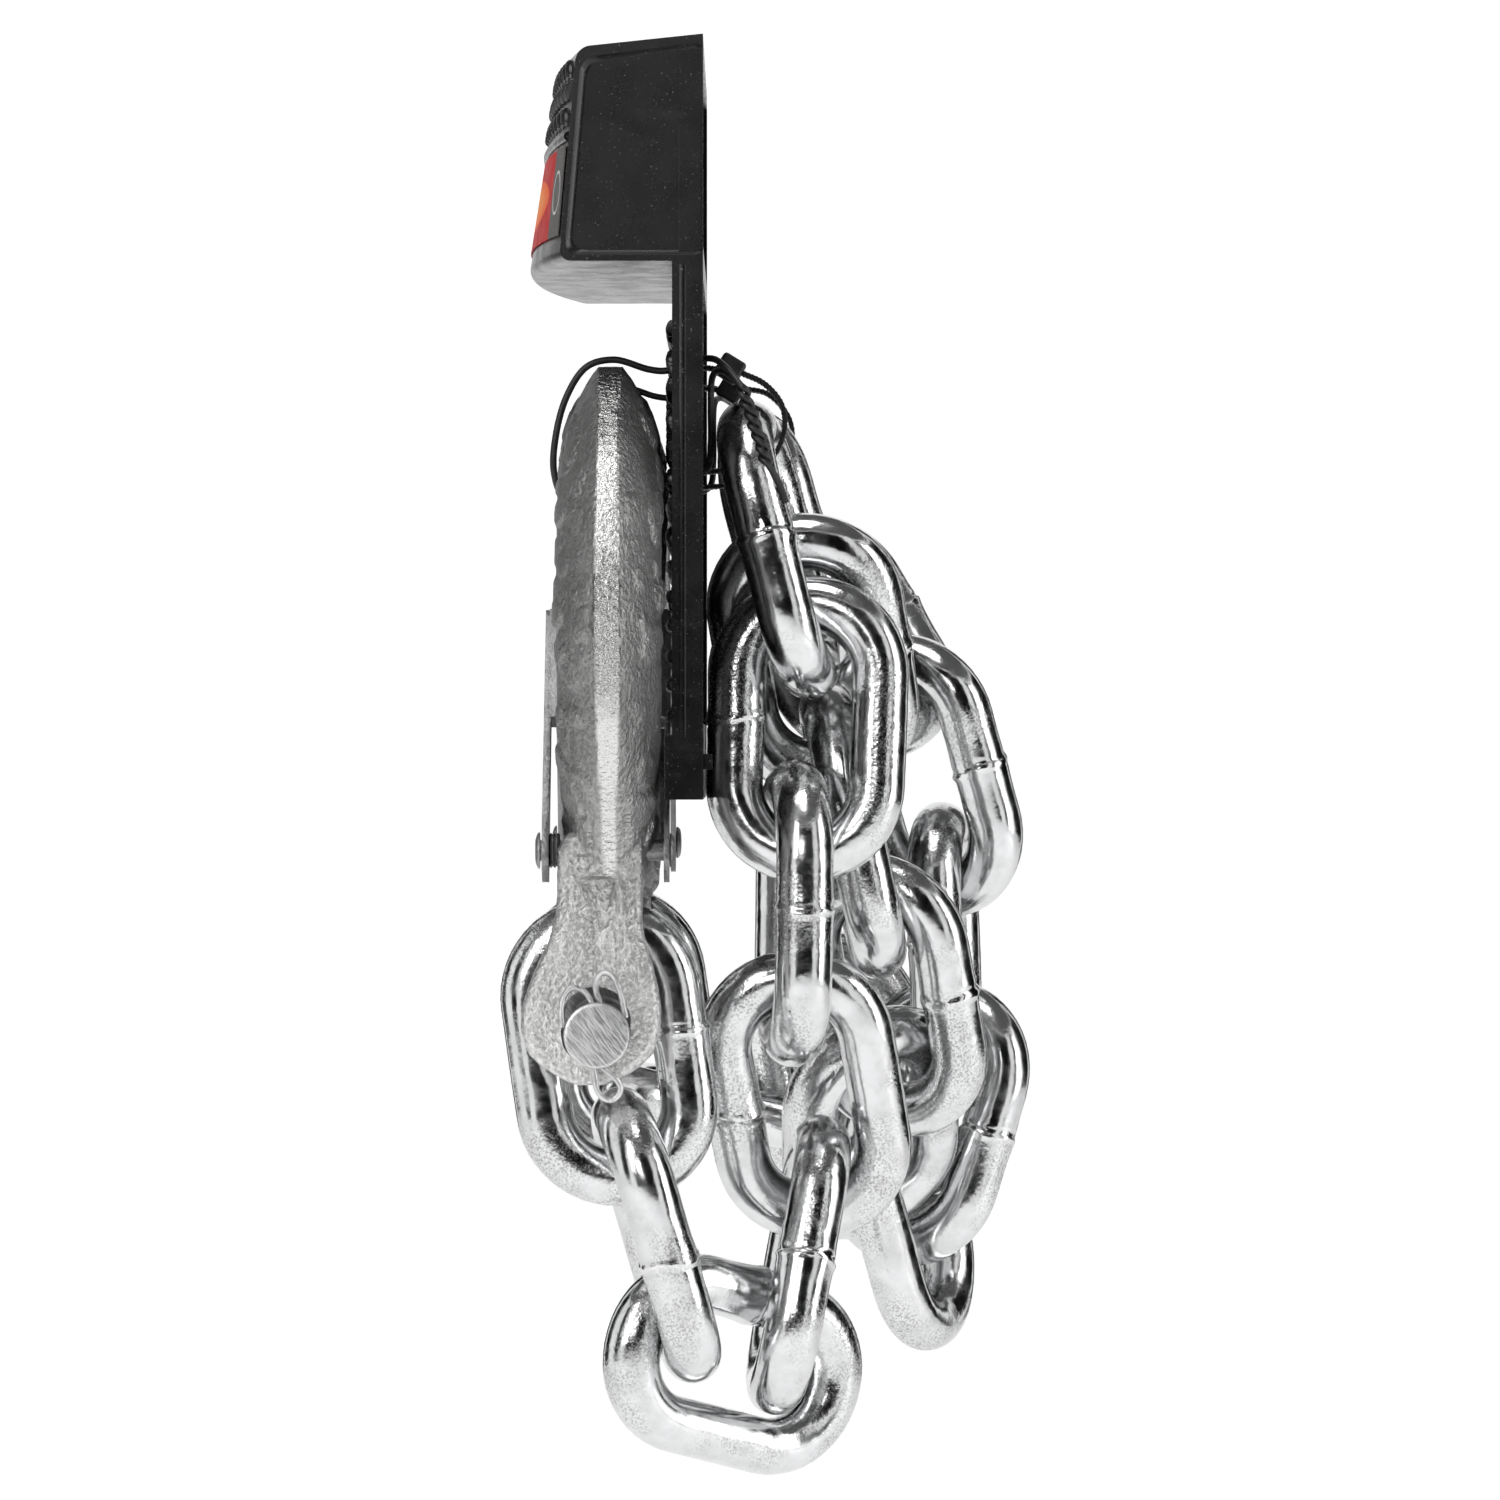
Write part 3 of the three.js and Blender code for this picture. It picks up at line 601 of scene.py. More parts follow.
def hook_body():
    """The bent forging, as rings of points in the hook's own coordinates."""
    flat = [Vector((x, z, 0)) for x, z, _, _ in HOOK_LINE]
    sizes = [Vector((d, w, 0)) for _, _, d, w in HOOK_LINE]
    per_span = 7
    path = smooth_path(flat, per_span)
    rings = []
    half = [(p.x, p.y) for p in smooth_path([Vector((d, w, 0)) for d, w in HOOK_HALF[1:]], 3)]
    outline = [HOOK_HALF[0]] + half + [(d, -w) for d, w in reversed(half[:-1])]
    for i, p in enumerate(path):
        ahead = path[min(i + 1, len(path) - 1)]
        behind = path[max(i - 1, 0)]
        way = (ahead - behind).normalized()
        out = Vector((way.y, -way.x))
        place = min(i / per_span, len(sizes) - 1.001)
        k = int(place)
        deep, wide, _ = sizes[k].lerp(sizes[k + 1], place - k)
        rings.append([hook_row(p.x + out.x * d * deep, FORGING_Y + w * wide, p.y + out.y * d * deep)
                      for d, w in outline])
    return new_object("hook_body", *loft(rings)), path


def ear_outline(z):
    """The near and far edge of an ear at one height, from the pin's centre."""
    levels = ((20, -5.9, 6.5), (15, -6.4, 6.4), (11, -8.1, 7.6), (7.5, -9.8, 8.6), (4, -10.9, 9.2),
              (0.5, -11.1, 9.1), (-3, -9.8, 7.9), (-5.4, -7.2, 5.4), (-7.3, -3.2, 1.4))
    for (z1, a1, b1), (z0, a0, b0) in zip(levels, levels[1:]):
        if z >= z0:
            share = (z - z0) / (z1 - z0)
            return a0 + (a1 - a0) * share, b0 + (b1 - b0) * share
    return levels[-1][1:]


def fork_half(side):
    """One ear and the arm above it, as a skin over level outlines with rounded corners."""
    rings = []
    for z in (26, 20, 17, 14, 11, 9, 7, 5, 3, 1, -1, -3, -4.5, -5.8, -6.8, -7.3):
        low, high = ear_outline(min(z, 20))
        inner = 4.0 if z > 21 else 5.2
        outer = 8.4 + 3.4 * clamp((21 - z) / 13)
        shape = []
        corner = 1.3
        for cx, cy, start in ((outer, high, 0), (inner, high, 90), (inner, low, 180), (outer, low, 270)):
            px = cx - corner if cx == outer else cx + corner
            py = cy - corner if cy == high else cy + corner
            for step in range(4):
                a = math.radians(start + step * 30)
                shape.append((px + corner * math.cos(a), py + corner * math.sin(a)))
        rings.append([hook_row(side * x, y, z) for x, y in shape])
    return new_object("fork_half", *loft(rings))


def wedge(side):
    """The little wedge that the trimmed seam ends in, above the channel in an arm."""
    rings = []
    for z, half, proud in ((30, 0.7, 11.0), (27.5, 1.0, 9.6), (25, 1.6, 9.3), (22.9, 2.3, 9.2)):
        rings.append([hook_row(side * x, y, z)
                      for x, y in ((5, -half - 0.9), (proud, -half * 0.6), (proud, half * 0.6),
                                   (5, half + 0.9))])
    return new_object("wedge", *loft(rings))


def rib(side, lean):
    """A raised forging rib beside the channel."""
    return rod("rib", hook_row(side * 8.3, lean * 3.3, 21.5), hook_row(side * 10.9, lean * 4.9, 10.5),
               0.75 * MM, 12)


def channel(side):
    """The sunk channel that runs down an arm's outer face to its eye, as a tool to cut it with."""
    rings = []
    for z, half, floor in ((22.6, 2.5, 7.4), (21.6, 2.4, 7.5), (16, 1.5, 9.0), (10, 1.05, 10.75),
                           (5.6, 0.9, 11.5)):
        rings.append([hook_row(side * x, y, z)
                      for x, y in ((floor, -half), (14, -half * 1.3), (14, half * 1.3), (floor, half))])
    return new_object("channel", *loft(rings))


def make_hook_mesh():
    """The forging in one skin: body, ears, wedges and ribs merged, softened, cut and marked."""
    obj, path = hook_body()
    bridge = block("bridge", (-7.6, -5.2, 19.0), (8.6, 6.6, 29.0), hook_row)
    bevel(bridge, 2.2, 3)
    for extra in [bridge] + [f(s) for s in (1, -1) for f in (fork_half, wedge)]:
        cut(obj, extra, "UNION")
    for side in (1, -1):
        for lean in (1, -1):
            cut(obj, rib(side, lean), "UNION")
        cut(obj, channel(side))
    remesh = obj.modifiers.new("remesh", "REMESH")
    remesh.mode = "VOXEL"
    remesh.voxel_size = VOXEL
    bake(obj)
    soften = obj.modifiers.new("soften", "SMOOTH")
    soften.factor = 0.5
    soften.iterations = 3
    bake(obj)
    # the slot that takes the first link, round at its top, then the holes for the pin
    cut(obj, block("slot", (-SLOT_HALF, -20, -20), (SLOT_HALF, 20, SLOT_TOP), hook_row))
    cut(obj, rod("slot_top", hook_row(0, -20, SLOT_TOP), hook_row(0, 20, SLOT_TOP), SLOT_HALF * MM, 40))
    for z in (0.3, 1.9):  # the holes are a little taller than they are wide
        cut(obj, rod("pin_hole", hook_row(-20, -0.2, z), hook_row(20, -0.2, z), PIN_HOLE_RADIUS * MM, 48))
    mark_forging(obj, path)
    return obj


# By height above the pin: the trimmed seam's half width, how darkly it is speckled, and the skin's painted
# light
STRIP = ((20, 0.5), (27, 0.8), (48, 1.65), (68, 1.65), (88, 1.4), (97, 1.75))
SAW_MARKS = ((24, 0.1), (44, 0.2), (50, 0.75), (66, 0.7), (71, 0.15), (82, 0.0), (86, 0.8), (96, 1.0))
PAINTED_LIGHT_LOW = ((-8, 1.0), (2, 0.85), (16, 0.75), (28, 0.25), (40, 0.0))


def mark_forging(obj, path):
    """Roughs up the skin, raises oval forging scars on its flanks and marks the trimmed seam."""
    rng = random.Random(7)
    scars = []  # x, z, flank, size, lean and height
    for _ in range(90):
        k = rng.randrange(10, len(path) - 26)
        place = path[k]
        reach = rng.uniform(-7.0, 7.0)
        scars.append((place.x + reach, place.y + rng.uniform(-2, 2), rng.choice((-1, 1)),
                      rng.uniform(1.1, 2.6), rng.uniform(-0.9, 0.9), rng.uniform(0.22, 0.5)))
    line = np.array([(p.x, p.y) for p in path])
    ways = np.gradient(line, axis=0)
    ways /= np.linalg.norm(ways, axis=1)[:, None]
    heights, halves = zip(*STRIP)
    strips = []
    marks = []
    painted_light_low = []
    bm = bmesh.new()
    bm.from_mesh(obj.data)
    bm.normal_update()
    origin = hook_row(0, 0, 0)
    moves = []
    for v in bm.verts:
        p = (v.co - origin) / MM
        flat = np.array((p.x, p.z))
        k = int(((line - flat) ** 2).sum(axis=1).argmin())
        out = float((flat - line[k]) @ np.array((ways[k][1], -ways[k][0])))
        width = abs(p.y - FORGING_Y)
        half = float(np.interp(p.z, heights, halves))
        strip = 0.0
        if p.z > 22.5 and k < len(path) - 14:
            strip = clamp((half + 0.25 - width) / 0.25) * clamp((out - 4.2) / 0.6)
        strips.append(strip)
        marks.append(float(np.interp(p.z, *zip(*SAW_MARKS))))
        # painted light: how much the colour is lightened, most at the ears and fading out up the arms
        painted_light_low.append(float(np.interp(p.z + 0.5 * p.y, *zip(*PAINTED_LIGHT_LOW))))
        rough = noise.noise(v.co * 420) * 0.10 + noise.noise(v.co * 1100) * 0.06
        if width > 2.6 and p.z > 26:
            for x, z, side, size, lean, height in scars:
                if (p.y - FORGING_Y) * side > 0:
                    u = (p.x - x) * math.cos(lean) + (p.z - z) * math.sin(lean)
                    w = (p.z - z) * math.cos(lean) - (p.x - x) * math.sin(lean)
                    d = math.hypot(u / 1.7, w) / size
                    if d < 1.3:
                        rough += height * clamp((1.15 - d) / 0.25)
            rough = min(rough, 0.6)
        if strip > 0.4:
            lip = math.exp(-((width - half) / 0.16) ** 2)
            rough = 0.10 + 0.14 * lip + noise.noise(Vector((p.x * 0.5, p.y * 0.1, p.z * 2.2))) * 0.07
        moves.append(v.normal * rough * MM)
    for v, move in zip(bm.verts, moves):
        v.co += move
    bm.to_mesh(obj.data)
    bm.free()
    for name, values in (("seam", strips), ("saw_marks", marks), ("painted_light_low", painted_light_low)):
        layer = obj.data.attributes.new(name, "FLOAT", "POINT")
        layer.data.foreach_set("value", values)


def mirrored_copy(obj, name):
    """The same mesh on the other side of the pack."""
    mesh = obj.data.copy()
    for v in mesh.vertices:
        v.co.x = -v.co.x
    mesh.flip_normals()
    copy = bpy.data.objects.new(name, mesh)
    bpy.context.scene.collection.objects.link(copy)
    return copy


def both_sides(obj, name, body, nodes, material, angle=None):
    """Finishes a near piece and its mirror image: names are filled in with near and far."""
    smooth(obj, angle)
    obj.name = name.format("near")
    for side, tag in SIDES:
        one = obj if side > 0 else mirrored_copy(obj, name.format(tag))
        finish_piece(one, body.format(tag), [n.format(tag) for n in nodes], material)


both_sides(make_hook_mesh(), "hook_{}_forging", "pack", ["hook_{}"], forged, 45)


# ---- latches, pins and cotters ---------------------------------------------------------------

LATCH_PIVOT = (1.5, 26.4)
LATCH_TIP = (-21.4, 61.4)
PLATES = ((-9.9, -8.9), (7.8, 8.6))  # its side plates, from the forging's middle plane
COTTER_X = 13.7  # along the clevis pin, from its centre


def latch_point(out, along, depth):
    """A place in the latch's own coordinates, in the row's."""
    way = Vector((LATCH_TIP[0] - LATCH_PIVOT[0], LATCH_TIP[1] - LATCH_PIVOT[1])).normalized()
    x = LATCH_PIVOT[0] + way.x * along + way.y * out
    z = LATCH_PIVOT[1] + way.y * along - way.x * out
    return hook_row(x, FORGING_Y + depth, z)


def rounded(points, radius, steps=5):
    """An outline with its corners rounded."""
    result = []
    count = len(points)
    for i in range(count):
        here = Vector(points[i])
        to_last = Vector(points[i - 1]) - here
        to_next = Vector(points[(i + 1) % count]) - here
        reach = min(radius, to_last.length * 0.45, to_next.length * 0.45)
        start = here + to_last.normalized() * reach
        end = here + to_next.normalized() * reach
        for k in range(steps + 1):
            t = k / steps
            result.append(start.lerp(here, t).lerp(here.lerp(end, t), t))
    return result


def make_latch():
    """A spring latch: two side plates joined by a bent web."""
    length = math.dist(LATCH_PIVOT, LATCH_TIP)
    outline = rounded([(-3.2, -4.2), (2.6, -3.8), (4.3, 2), (2.7, length - 1), (-0.4, length),
                       (-3.4, 6), (-4.3, 0)], 2.2)
    obj = None
    for low, high in PLATES:
        rings = [[latch_point(x, y, depth) for x, y in outline] for depth in (low, high)]
        plate = new_object("plate", *loft(rings))
        if obj is None:
            obj = plate
        else:
            cut(obj, plate, "UNION")
    web = rounded([(2.5, 19.5), (3.6, 21), (2.75, length - 1), (1.7, length - 1)], 0.5)
    rings = [[latch_point(x, y, depth) for x, y in web] for depth in (-9.3, 8.2)]
    cut(obj, new_object("web", *loft(rings)), "UNION")
    bevel(obj, 0.22, 2, 40)
    both_sides(obj, "latch_{}_sheet", "latch_{}_body", ["latch_{}"], sprung, 35)


def make_rivet():
    """The latch's rivet: a turned head and a peened one on a plain shank, with a coil beside it."""
    start = hook_row(LATCH_PIVOT[0], FORGING_Y - 10.0, LATCH_PIVOT[1])
    profile = ((-0.9, 0.4), (-0.88, 1.6), (-0.7, 2.2), (-0.5, 2.6), (-0.22, 2.7), (-0.21, 1.5),
               (1.12, 1.5), (1.14, 2.3), (1.4, 2.6), (1.65, 2.3), (1.7, 2.3), (1.95, 2.6), (2.2, 2.3),
               (2.25, 2.3), (2.5, 2.6), (2.7, 2.3), (2.72, 1.5),
               (18.64, 1.5), (18.66, 2.4), (18.9, 2.5), (19.3, 2.1), (19.45, 1.3), (19.5, 0.4))
    obj = turned("rivet", start, Vector((0, 1, 0)), profile, 40)
    both_sides(obj, "latch_{}_rivet", "pack", ["latch_rivet_{}"], sprung, 40)


def make_clevis_pin():
    """A headed pin with a chamfered end and a bore for its cotter."""
    profile = ((-17.2, 0.3), (-17.2, 6.1), (-16.9, 6.5), (-15.2, 6.6), (-14.7, 6.3), (-14.6, 4.75),
               (16.0, 4.75), (16.3, 4.62), (16.4, 4.4), (16.42, 4.2), (16.4, 0.3))
    obj = turned("pin", hook_row(0, 0, 0), Vector((1, 0, 0)), profile, 64)
    cut(obj, rod("cotter_bore", hook_row(COTTER_X, 0, -9), hook_row(COTTER_X, 0, 9), 1.25 * MM, 20))
    both_sides(obj, "clevis_pin_{}_turned", "pin_{}_body", ["clevis_pin_{}"], plated, 30)


def make_cotter():
    """A split pin: its eye hangs under the clevis pin and each leg is bent over on top of it."""
    x = COTTER_X
    points = [
        (x + 1.6, -4.9, 1.2), (x + 1.5, -5.1, 3.4), (x + 1.0, -4.7, 5.7), (x + 0.5, -3.6, 6.8),
        (x + 0.2, -2.2, 6.5), (x, -1.1, 5.4), (x, -0.52, 3.6), (x, -0.5, 0), (x, -0.52, -4.2),
        (x, -0.3, -6.2), (x, 0.0, -7.8), (x, 0.8, -8.9), (x, 1.9, -9.3), (x, 3.0, -8.7),
        (x, 3.4, -7.5), (x, 2.7, -6.2), (x, 1.5, -5.2), (x, 0.6, -4.2), (x, 0.5, 0), (x, 0.5, 4.4),
        (x + 0.1, -0.1, 6.2), (x + 0.3, -0.1, 7.9), (x + 0.6, 0.9, 9.0), (x + 0.9, 2.2, 8.6),
        (x + 1.2, 3.2, 6.7), (x + 1.4, 3.8, 4.4), (x + 1.4, 4.2, 2.6),
    ]
    path = smooth_path([hook_row(*p) for p in points], 7)
    half_round = [(0.5 * math.cos(a), 0.42 * math.sin(a))
                  for a in (math.tau * i / 14 for i in range(14))]
    obj = swept("cotter", path, half_round)
    both_sides(obj, "cotter_pin_{}_wire", "pin_{}_body", ["cotter_pin_{}"], plated, 50)


make_latch()
make_rivet()
make_clevis_pin()
make_cotter()


# ---- wires and straps ------------------------------------------------------------------------

def make_twist_wire():
    """A coated wire round the hook and through the card, with its two ends twisted together behind it."""
    top = Vector((51.3, -1.2, 52.6))
    low = Vector((51.7, 2.6, 41.4))
    turns = 3.5
    steps = 56

    def coil(phase):
        points = []
        for i in range(steps + 1):
            a = phase + i / steps * turns * math.tau
            reach = 0.62 + 0.10 * math.sin(i * 0.7 + phase)
            points.append(top.lerp(low, i / steps) + Vector((math.cos(a) * reach, math.sin(a) * reach, 0)))
        return points

    over = [(49, -3.6, 55.6), (45.5, -5.6, 57), (42, -9, 56.6), (42, -12.3, 55.4), (42, -14.8, 55.6),
            (42, -19.8, 57.0), (42, -23.8, 56.0), (42, -26.8, 51.6), (42, -28.5, 45),
            (41.6, -28.6, 40.4), (40, -27.2, 37), (38, -22, 36.2), (37.4, -15, 37.4), (37, -9, 40),
            (36.6, -6.3, 41.2), (36.2, -5.75, 45), (36.4, -5.75, 50), (38.6, -5.6, 54.2),
            (43, -4.6, 55.4), (47.4, -2.8, 54.6)]
    tail = [(51.3, 4.2, 38.6), (50.9, 5.2, 35.8)]
    loose = [row(*p) for p in over]
    path = [row(*p) for p in reversed(coil(0.0))]
    path += smooth_path([path[-1], *loose, row(*coil(math.pi)[0])], 8)[1:-1]
    path += [row(*p) for p in coil(math.pi)]
    path += smooth_path([path[-1], *(row(*p) for p in tail)], 8)[1:]
    obj = swept("wire", path, circle(0.5, 12))
    both_sides(obj, "twist_wire_{}_strand", "pack", ["twist_wire_{}"], vinyl, 60)


STRAP_X = 32
STRAP_SLOTS = (55.6, 41.2)  # heights of the slots a strap goes through
WIRE_HOLES = ((42, 56.6), (37, 40))
LOCK_TILT = -0.55

# A strap's route, as y and z in the card's coordinates: over the card's front, then back round the link
TIE_FRONT = [(-3.9, 55.9), (-6.6, 56.3), (-10.6, 56.0), (-11.9, 54.0), (-11.95, 51.5), (-11.95, 45),
             (-11.9, 42.6), (-10.6, 40.9), (-6.0, 41.0), (-2, 41.5)]
TIE_BACKS = {
    "near": [(3.0, 42.9), (5.0, 46.8), (4.7, 50.8), (2.2, 53.9), (-1.3, 55.6)],
    "far": [(3.4, 42.3), (6.3, 46.5), (6.2, 51.4), (2.9, 55.4), (-1.3, 56.4)],
}


def make_cable_tie(side, tag):
    """A toothed strap round a link's crown and through the card, with its moulded lock."""
    x0 = side * STRAP_X
    path = smooth_path([row(x0, y, z) for y, z in TIE_FRONT + TIE_BACKS[tag]], 26)
    section = [(1.75, 0.30), (1.45, 0.42), (-1.45, 0.42), (-1.75, 0.30),
               (-1.75, -0.30), (-1.45, -0.42), (1.45, -0.42), (1.75, -0.30)]
    obj = swept(f"cable_tie_{tag}_strap", path, section, lambda i: 1.0 if i % 4 < 2 else 0.86)
    lock = block("lock", (x0 - 2.4, -1.9, -1.7), (x0 + 2.4, 1.9, 1.9),
                 lambda x, y, z: row(x, -3.0 + y * math.cos(LOCK_TILT) - z * math.sin(LOCK_TILT),
                                     56.1 + y * math.sin(LOCK_TILT) + z * math.cos(LOCK_TILT)))
    bevel(lock, 0.5, 3)
    cut(obj, lock, "UNION")
    smooth(obj, 40)
    finish_piece(obj, "pack", [f"cable_tie_{tag}"], nylon)


make_twist_wire()
for side, tag in SIDES:
    make_cable_tie(side, tag)


# ---- hanger card -----------------------------------------------------------------------------

def header_front(x):
    """How far forward the header's front is at its top and at its bottom: it bulges in the middle."""
    share = 1 - (x / HALF_WIDTH) ** 2
    return -25.3 - 3.5 * share, -27.5 - 5.7 * share


def header_ring(x, inset=0.0):
    """The header's outline at one place across its width."""
    top, low = (y + inset for y in header_front(x))
    back = CARD_BACK + (1.0 if inset else 0.0)
    points = [(back, HEADER_BOTTOM + inset), (back, HEADER_TOP - inset)]
    crest = HEADER_TOP - inset - 1.7
    corners = [math.radians(15 * k) for k in range(7)]
    for a in corners:
        points.append((top + 2.4 - 2.4 * math.sin(a), crest - 2.4 + 2.4 * math.cos(a)))
    for a in corners:
        points.append((low + 1.5 - 1.5 * math.cos(a), HEADER_BOTTOM + inset + 1.5 - 1.5 * math.sin(a)))
    return [row(x, y, z) for y, z in points]


def header_block(inset=0.0):
    """The header as a solid, or its hollow as a tool to cut it with."""
    half = HALF_WIDTH - inset
    count = 40
    rings = [header_ring(half * (2 * i / count - 1), inset) for i in range(count + 1)]
    return new_object("header", *loft(rings))


def front_of_header(x, z):
    """The header's front at a place across and up."""
    top, low = header_front(x)
    up = (z - HEADER_BOTTOM - 1.5) / (HEADER_TOP - 4.1 - HEADER_BOTTOM - 1.5)
    return low + (top - low) * clamp(up)


def leaf(place, tilt, proud, long=2.5, wide=0.85):
    """Points and faces of one raised lozenge; place(u, v, h) puts it on its wall."""
    around = 16
    verts = []
    faces = []
    levels = ((1.0, -0.3), (0.94, 0.35), (0.74, 0.75), (0.42, 0.95))
    for scale, height in levels:
        for i in range(around):
            a = math.tau * i / around
            u = math.cos(a) * abs(math.cos(a)) ** 0.35 * long * scale
            v = math.sin(a) * wide * scale
            verts.append(place(u * math.cos(tilt) - v * math.sin(tilt),
                               u * math.sin(tilt) + v * math.cos(tilt), height * proud))
    verts.append(place(0, 0, proud))
    top = len(verts) - 1
    for level in range(len(levels) - 1):
        for i in range(around):
            a = level * around + i
            b = level * around + (i + 1) % around
            faces.append((a, b, b + around, a + around))
    last = (len(levels) - 1) * around
    for i in range(around):
        faces.append((last + i, last + (i + 1) % around, top))
    faces.append(tuple(reversed(range(around))))
    return verts, faces


def tread(name, cells, place):
    """A field of raised lozenges, leaning one way and then the other."""
    verts = []
    faces = []
    for x, z, lean, size, proud in cells:
        more, sides = leaf(lambda u, v, h: place(x + u * size, z + v * size, h),
                           math.radians(45 * lean), proud)
        faces += [tuple(i + len(verts) for i in f) for f in sides]
        verts += more
    obj = new_object(name, verts, faces)
    smooth(obj, 50)
    finish_piece(obj, "pack", [], moulding)


def make_card():
    """The moulding: a hollow header over a ribbed card, with its lip, corners, tabs and openings."""
    obj = header_block()
    slab = block("slab", (-HALF_WIDTH, CARD_FRONT, CARD_BOTTOM), (HALF_WIDTH, CARD_BACK, HEADER_BOTTOM + 2))
    cut(obj, slab, "UNION")
    cut(obj, block("lip", (-26, CARD_FRONT - 1, CARD_BOTTOM), (26, CARD_BACK, CARD_BOTTOM + 9.4)), "UNION")
    for side in (-1, 1):
        low = side * (HALF_WIDTH - 0.5) - 0.5
        corner = block("corner", (low, CARD_FRONT - 1, CARD_BOTTOM),
                       (low + 1.0, CARD_BACK, CARD_BOTTOM + 9.4))
        cut(obj, corner, "UNION")
        tab = block("tab", (side * 47 - 3.5, CARD_BACK - 1, -2.8), (side * 47 + 3.5, CARD_BACK + 1.3, -0.6))
        cut(obj, tab, "UNION")
        cut(obj, header_panel(side))
        low, high = sorted((side * (HALF_WIDTH - 1.2), side * (HALF_WIDTH - 0.5)))
        cut(obj, block("rib", (low, CARD_FRONT + 1.0, HEADER_BOTTOM), (high, CARD_BACK - 0.4, 90.5)), "UNION")
    cut(obj, header_block(2.2))
    cut(obj, block("pocket", (-49, CARD_BACK - 2.4, CARD_BOTTOM + 11),
                   (49, CARD_BACK + 3, HEADER_BOTTOM - 2)))
    cut(obj, rod("peg", row(0, -45, PEG_Z), row(0, 0, PEG_Z), 5 * MM, 48))
    for side in (-1, 1):
        for x, z in WIRE_HOLES:
            cut(obj, rod("hole", row(side * x, -14, z), row(side * x, -4, z), 1.5 * MM, 20))
        for z in STRAP_SLOTS:
            x = side * STRAP_X
            cut(obj, block("slot", (x - 2.6, -14, z - 1.6), (x + 2.6, -4, z + 1.6)))
    bevel(obj, 0.55, 3, 40)
    smooth(obj, 60)
    weigh_normals(obj)
    obj.name = "hanger_card_moulding"
    finish_piece(obj, "pack", ["hanger_card"], moulding)


def header_panel(side):
    """The recess in a side of the header, with sloping walls, as a tool to cut it with."""
    rings = []
    for x, grow in ((HALF_WIDTH - 0.9, 0.0), (HALF_WIDTH - 0.55, 0.5), (HALF_WIDTH + 0.3, 1.3)):
        points = rounded([(-6.0, 72.4 - grow * 0.7), (-6.0, 102.0 + grow * 0.6),
                          (-23.5 - grow, 99.6 + grow * 0.6), (-25.9 - grow, 72.4 - grow * 0.7)], 2.4, 5)
        rings.append([row(side * x, y, z) for y, z in points])
    return new_object("panel", *loft(rings))


def make_label():
    """A thin printed sheet that follows the header's front."""
    columns = 60
    thick = 0.3
    z0, z1 = LABEL_HEIGHTS
    rings = []
    for i in range(columns + 1):
        x = LABEL_HALF * (2 * i / columns - 1)
        ring = []
        for z, proud in ((z0, 0.1), (z0, thick), (z1, thick), (z1, 0.1)):
            ring.append(row(x, front_of_header(x, z) - proud, z))
        rings.append(ring)
    obj = new_object("header_label_sheet", *loft(rings))
    smooth(obj, 40)
    sheet = label_material(row(-LABEL_HALF, 0, z0), row(LABEL_HALF, 0, z1))
    finish_piece(obj, "pack", ["header_label"], sheet)


def make_ledge():
    """The raised rim that runs across the header just above its label."""
    z = LABEL_HEIGHTS[1] + 1.3
    path = [row(x, front_of_header(x, z) + 0.1, z) for x in np.linspace(-51.0, 51.0, 49)]
    obj = swept("header_ledge", path, circle(0.75, 12))
    smooth(obj, 60)
    finish_piece(obj, "pack", [], moulding)


def make_card_beads():
    """The rounded bead down each long edge of the card."""
    for side, tag in SIDES:
        path = [row(side * (HALF_WIDTH - 0.25), CARD_FRONT + 1.5, z)
                for z in np.linspace(CARD_BOTTOM + 9.0, HEADER_BOTTOM - 0.5, 12)]
        obj = swept(f"card_bead_{tag}", path, [(a * 0.55, b) for a, b in circle(0.7, 14)])
        smooth(obj, 60)
        finish_piece(obj, "pack", [], moulding)


TREAD_PITCH = (5.2, 4.3)
LEAF_PROUD = 0.95
LEAF_FLUSH = 0.26


def card_cells():
    """Places over the card's front, clear of its openings: (x, z, lean, size, how proud).

    The lozenges are nearly flush where a latch swings over them, apart from a column down each edge.
    """
    cells = []
    wide, tall = TREAD_PITCH
    openings = (*WIRE_HOLES, *((STRAP_X, z) for z in STRAP_SLOTS))
    for j in range(14):
        z = CARD_BOTTOM + 12.2 + j * tall
        if z > HEADER_BOTTOM - 3:
            continue
        lean = 1 if j % 2 else -1
        for side in (1, -1):
            cells.append((side * 50.5, z, lean, 0.58, LEAF_PROUD))
        for i in range(-10, 11):
            x = (i + (j % 2) / 2) * wide
            clear = all(math.hypot(abs(x) - a, z - b) > 4.2 for a, b in openings)
            if abs(x) < HALF_WIDTH - 4.5 and clear:
                swept_over = abs(x) > 20 and z < 30
                cells.append((x, z, lean, 1.0, LEAF_FLUSH if swept_over else LEAF_PROUD))
    return cells


def header_cells():
    """The same over the header's front, above its label and clear of the peg's hole."""
    cells = []
    wide = TREAD_PITCH[0]
    for j, z in enumerate((92.0, 95.6, 99.0)):
        for i in range(-10, 11):
            x = (i + (j % 2) / 2) * wide
            if abs(x) < HALF_WIDTH - 2.0 and math.hypot(x, z - PEG_Z) > 8:
                cells.append((x, z, 1 if j % 2 else -1, 0.85, 0.9))
    return cells


make_card()
make_label()
make_ledge()
make_card_beads()
tread("card_tread", card_cells(), lambda x, z, h: row(x, CARD_FRONT - h, z))
tread("header_tread", header_cells(), lambda x, z, h: row(x, front_of_header(x, z) - h, z))


# ---- studio ----------------------------------------------------------------------------------

FLOOR_DROP = 0.25
CAMERA_AWAY = 1.135
CAMERA_LENS = 179.6
SUBJECT = Vector((0.0, CARD_ORIGIN.y * MM, CARD_ORIGIN.z * MM))

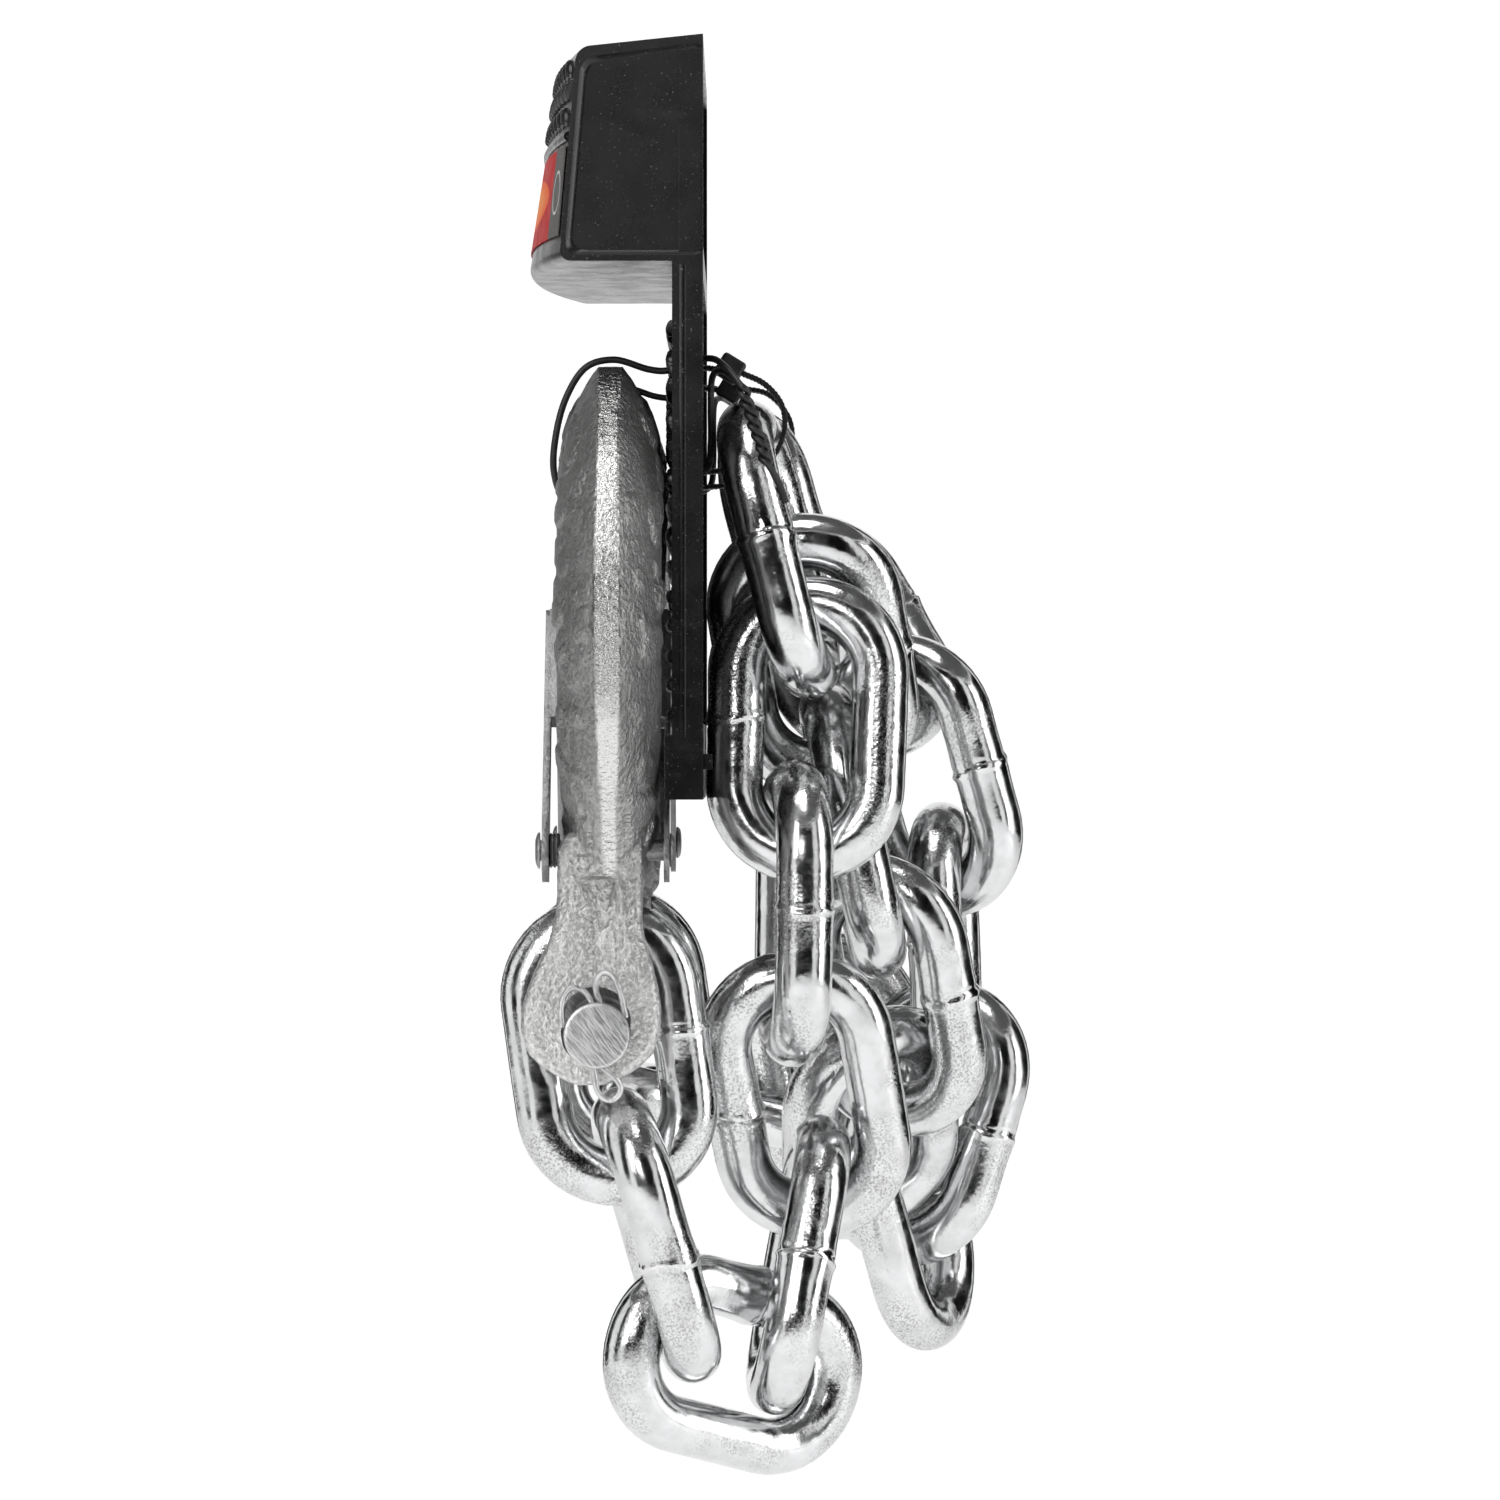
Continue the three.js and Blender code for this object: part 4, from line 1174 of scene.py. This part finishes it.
# How far out and how far up the studio's sheet goes, in metres
SWEEP = ((0.0, 0), (0.6, 0), (1.3, 0), (1.8, 0.05), (2.2, 0.2), (2.45, 0.5), (2.5, 1.0), (2.5, 2.6))

# Black flags all round: the way each one stands and half the span it covers, in degrees
FLAG_AWAY = 1.7
FLAGS = ((0, 34), (64, 12), (-64, 10), (112, 21), (-118, 14), (152, 9), (-152, 9))


def studio_sheet():
    """One pale sheet: a floor that sweeps up into a backdrop all round."""
    m = Nodes("studio_paper")
    m.set(Roughness=0.85, Emission_Strength=0.52)
    m.shader.inputs["Emission Color"].default_value = (1, 1, 1, 1)
    m.link(m.mix(m.noise(3, 2), (0.90, 0.90, 0.90), (0.93, 0.93, 0.93)), m.shader.inputs["Base Color"])
    low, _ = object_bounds()
    floor = low[2] - FLOOR_DROP
    sides = 64
    rings = []
    for out, up in SWEEP:
        ring = []
        for i in range(sides):
            a = math.tau * i / sides
            ring.append(Vector((out * math.cos(a), out * math.sin(a), floor + up)))
        rings.append(ring)
    verts = [p for ring in rings for p in ring]
    faces = []
    for i in range(len(rings) - 1):
        for j in range(sides):
            a = i * sides + j
            b = i * sides + (j + 1) % sides
            faces.append((a, b, b + sides, a + sides))
    mesh = bpy.data.meshes.new("studio_floor")
    mesh.from_pydata(verts, [], faces)
    obj = bpy.data.objects.new("studio_floor", mesh)
    bpy.context.scene.collection.objects.link(obj)
    smooth(obj)
    mesh.materials.append(m.material)


def area_light(name, place, size, power):
    """A soft light box that faces the subject."""
    data = bpy.data.lights.new(name, "AREA")
    data.shape = "RECTANGLE"
    data.size = size[0]
    data.size_y = size[1]
    data.energy = power
    obj = bpy.data.objects.new(name, data)
    obj.location = place
    obj.rotation_euler = (SUBJECT - Vector(place)).to_track_quat("-Z", "Y").to_euler()
    bpy.context.scene.collection.objects.link(obj)


def dark_flag(centre, half_span):
    """A tall black card, standing out of sight, for the bright metal to reflect."""
    m = Nodes("black_flag")
    m.set(Roughness=1.0, Specular_IOR_Level=0.0)
    m.link(m.mix(m.noise(4), (0.004, 0.004, 0.004), (0.006, 0.006, 0.006)), m.shader.inputs["Base Color"])
    verts = []
    for i in range(9):
        a = math.radians(centre - half_span + 2 * half_span * i / 8)
        for z in (-0.44, 1.3):
            verts.append((FLAG_AWAY * math.cos(a), FLAG_AWAY * math.sin(a), z))
    faces = [(2 * i, 2 * i + 2, 2 * i + 3, 2 * i + 1) for i in range(8)]
    mesh = bpy.data.meshes.new("black_flag")
    mesh.from_pydata(verts, [], faces)
    mesh.materials.append(m.material)
    obj = bpy.data.objects.new("black_flag", mesh)
    obj.visible_camera = False
    bpy.context.scene.collection.objects.link(obj)


def make_studio():
    studio_sheet()
    for centre, half_span in FLAGS:
        dark_flag(centre, half_span)
    area_light("key_left", (0.95, -0.62, 0.35), (0.32, 0.8), 3.2)
    area_light("fill_right", (0.30, 0.95, 0.10), (0.30, 0.9), 3.0)
    area_light("top", (0.25, -0.1, 0.85), (0.6, 0.5), 3.5)
    area_light("front", (1.55, -0.32, 0.34), (0.45, 0.5), 2.2)
    world = bpy.data.worlds.new("studio_air")
    world.use_nodes = True
    world.node_tree.nodes["Background"].inputs["Color"].default_value = (0.5, 0.5, 0.5, 1)
    world.node_tree.nodes["Background"].inputs["Strength"].default_value = 0.2
    bpy.context.scene.world = world
    bpy.context.scene.view_settings.view_transform = "Standard"
    camera = bpy.data.cameras.new("camera")
    camera.sensor_width = 36
    camera.lens = CAMERA_LENS
    obj = bpy.data.objects.new("camera", camera)
    obj.location = (CAMERA_AWAY, SUBJECT.y, SUBJECT.z)
    obj.rotation_euler = (math.radians(90), 0, math.radians(90))
    bpy.context.scene.collection.objects.link(obj)
    bpy.context.scene.camera = obj


make_studio()
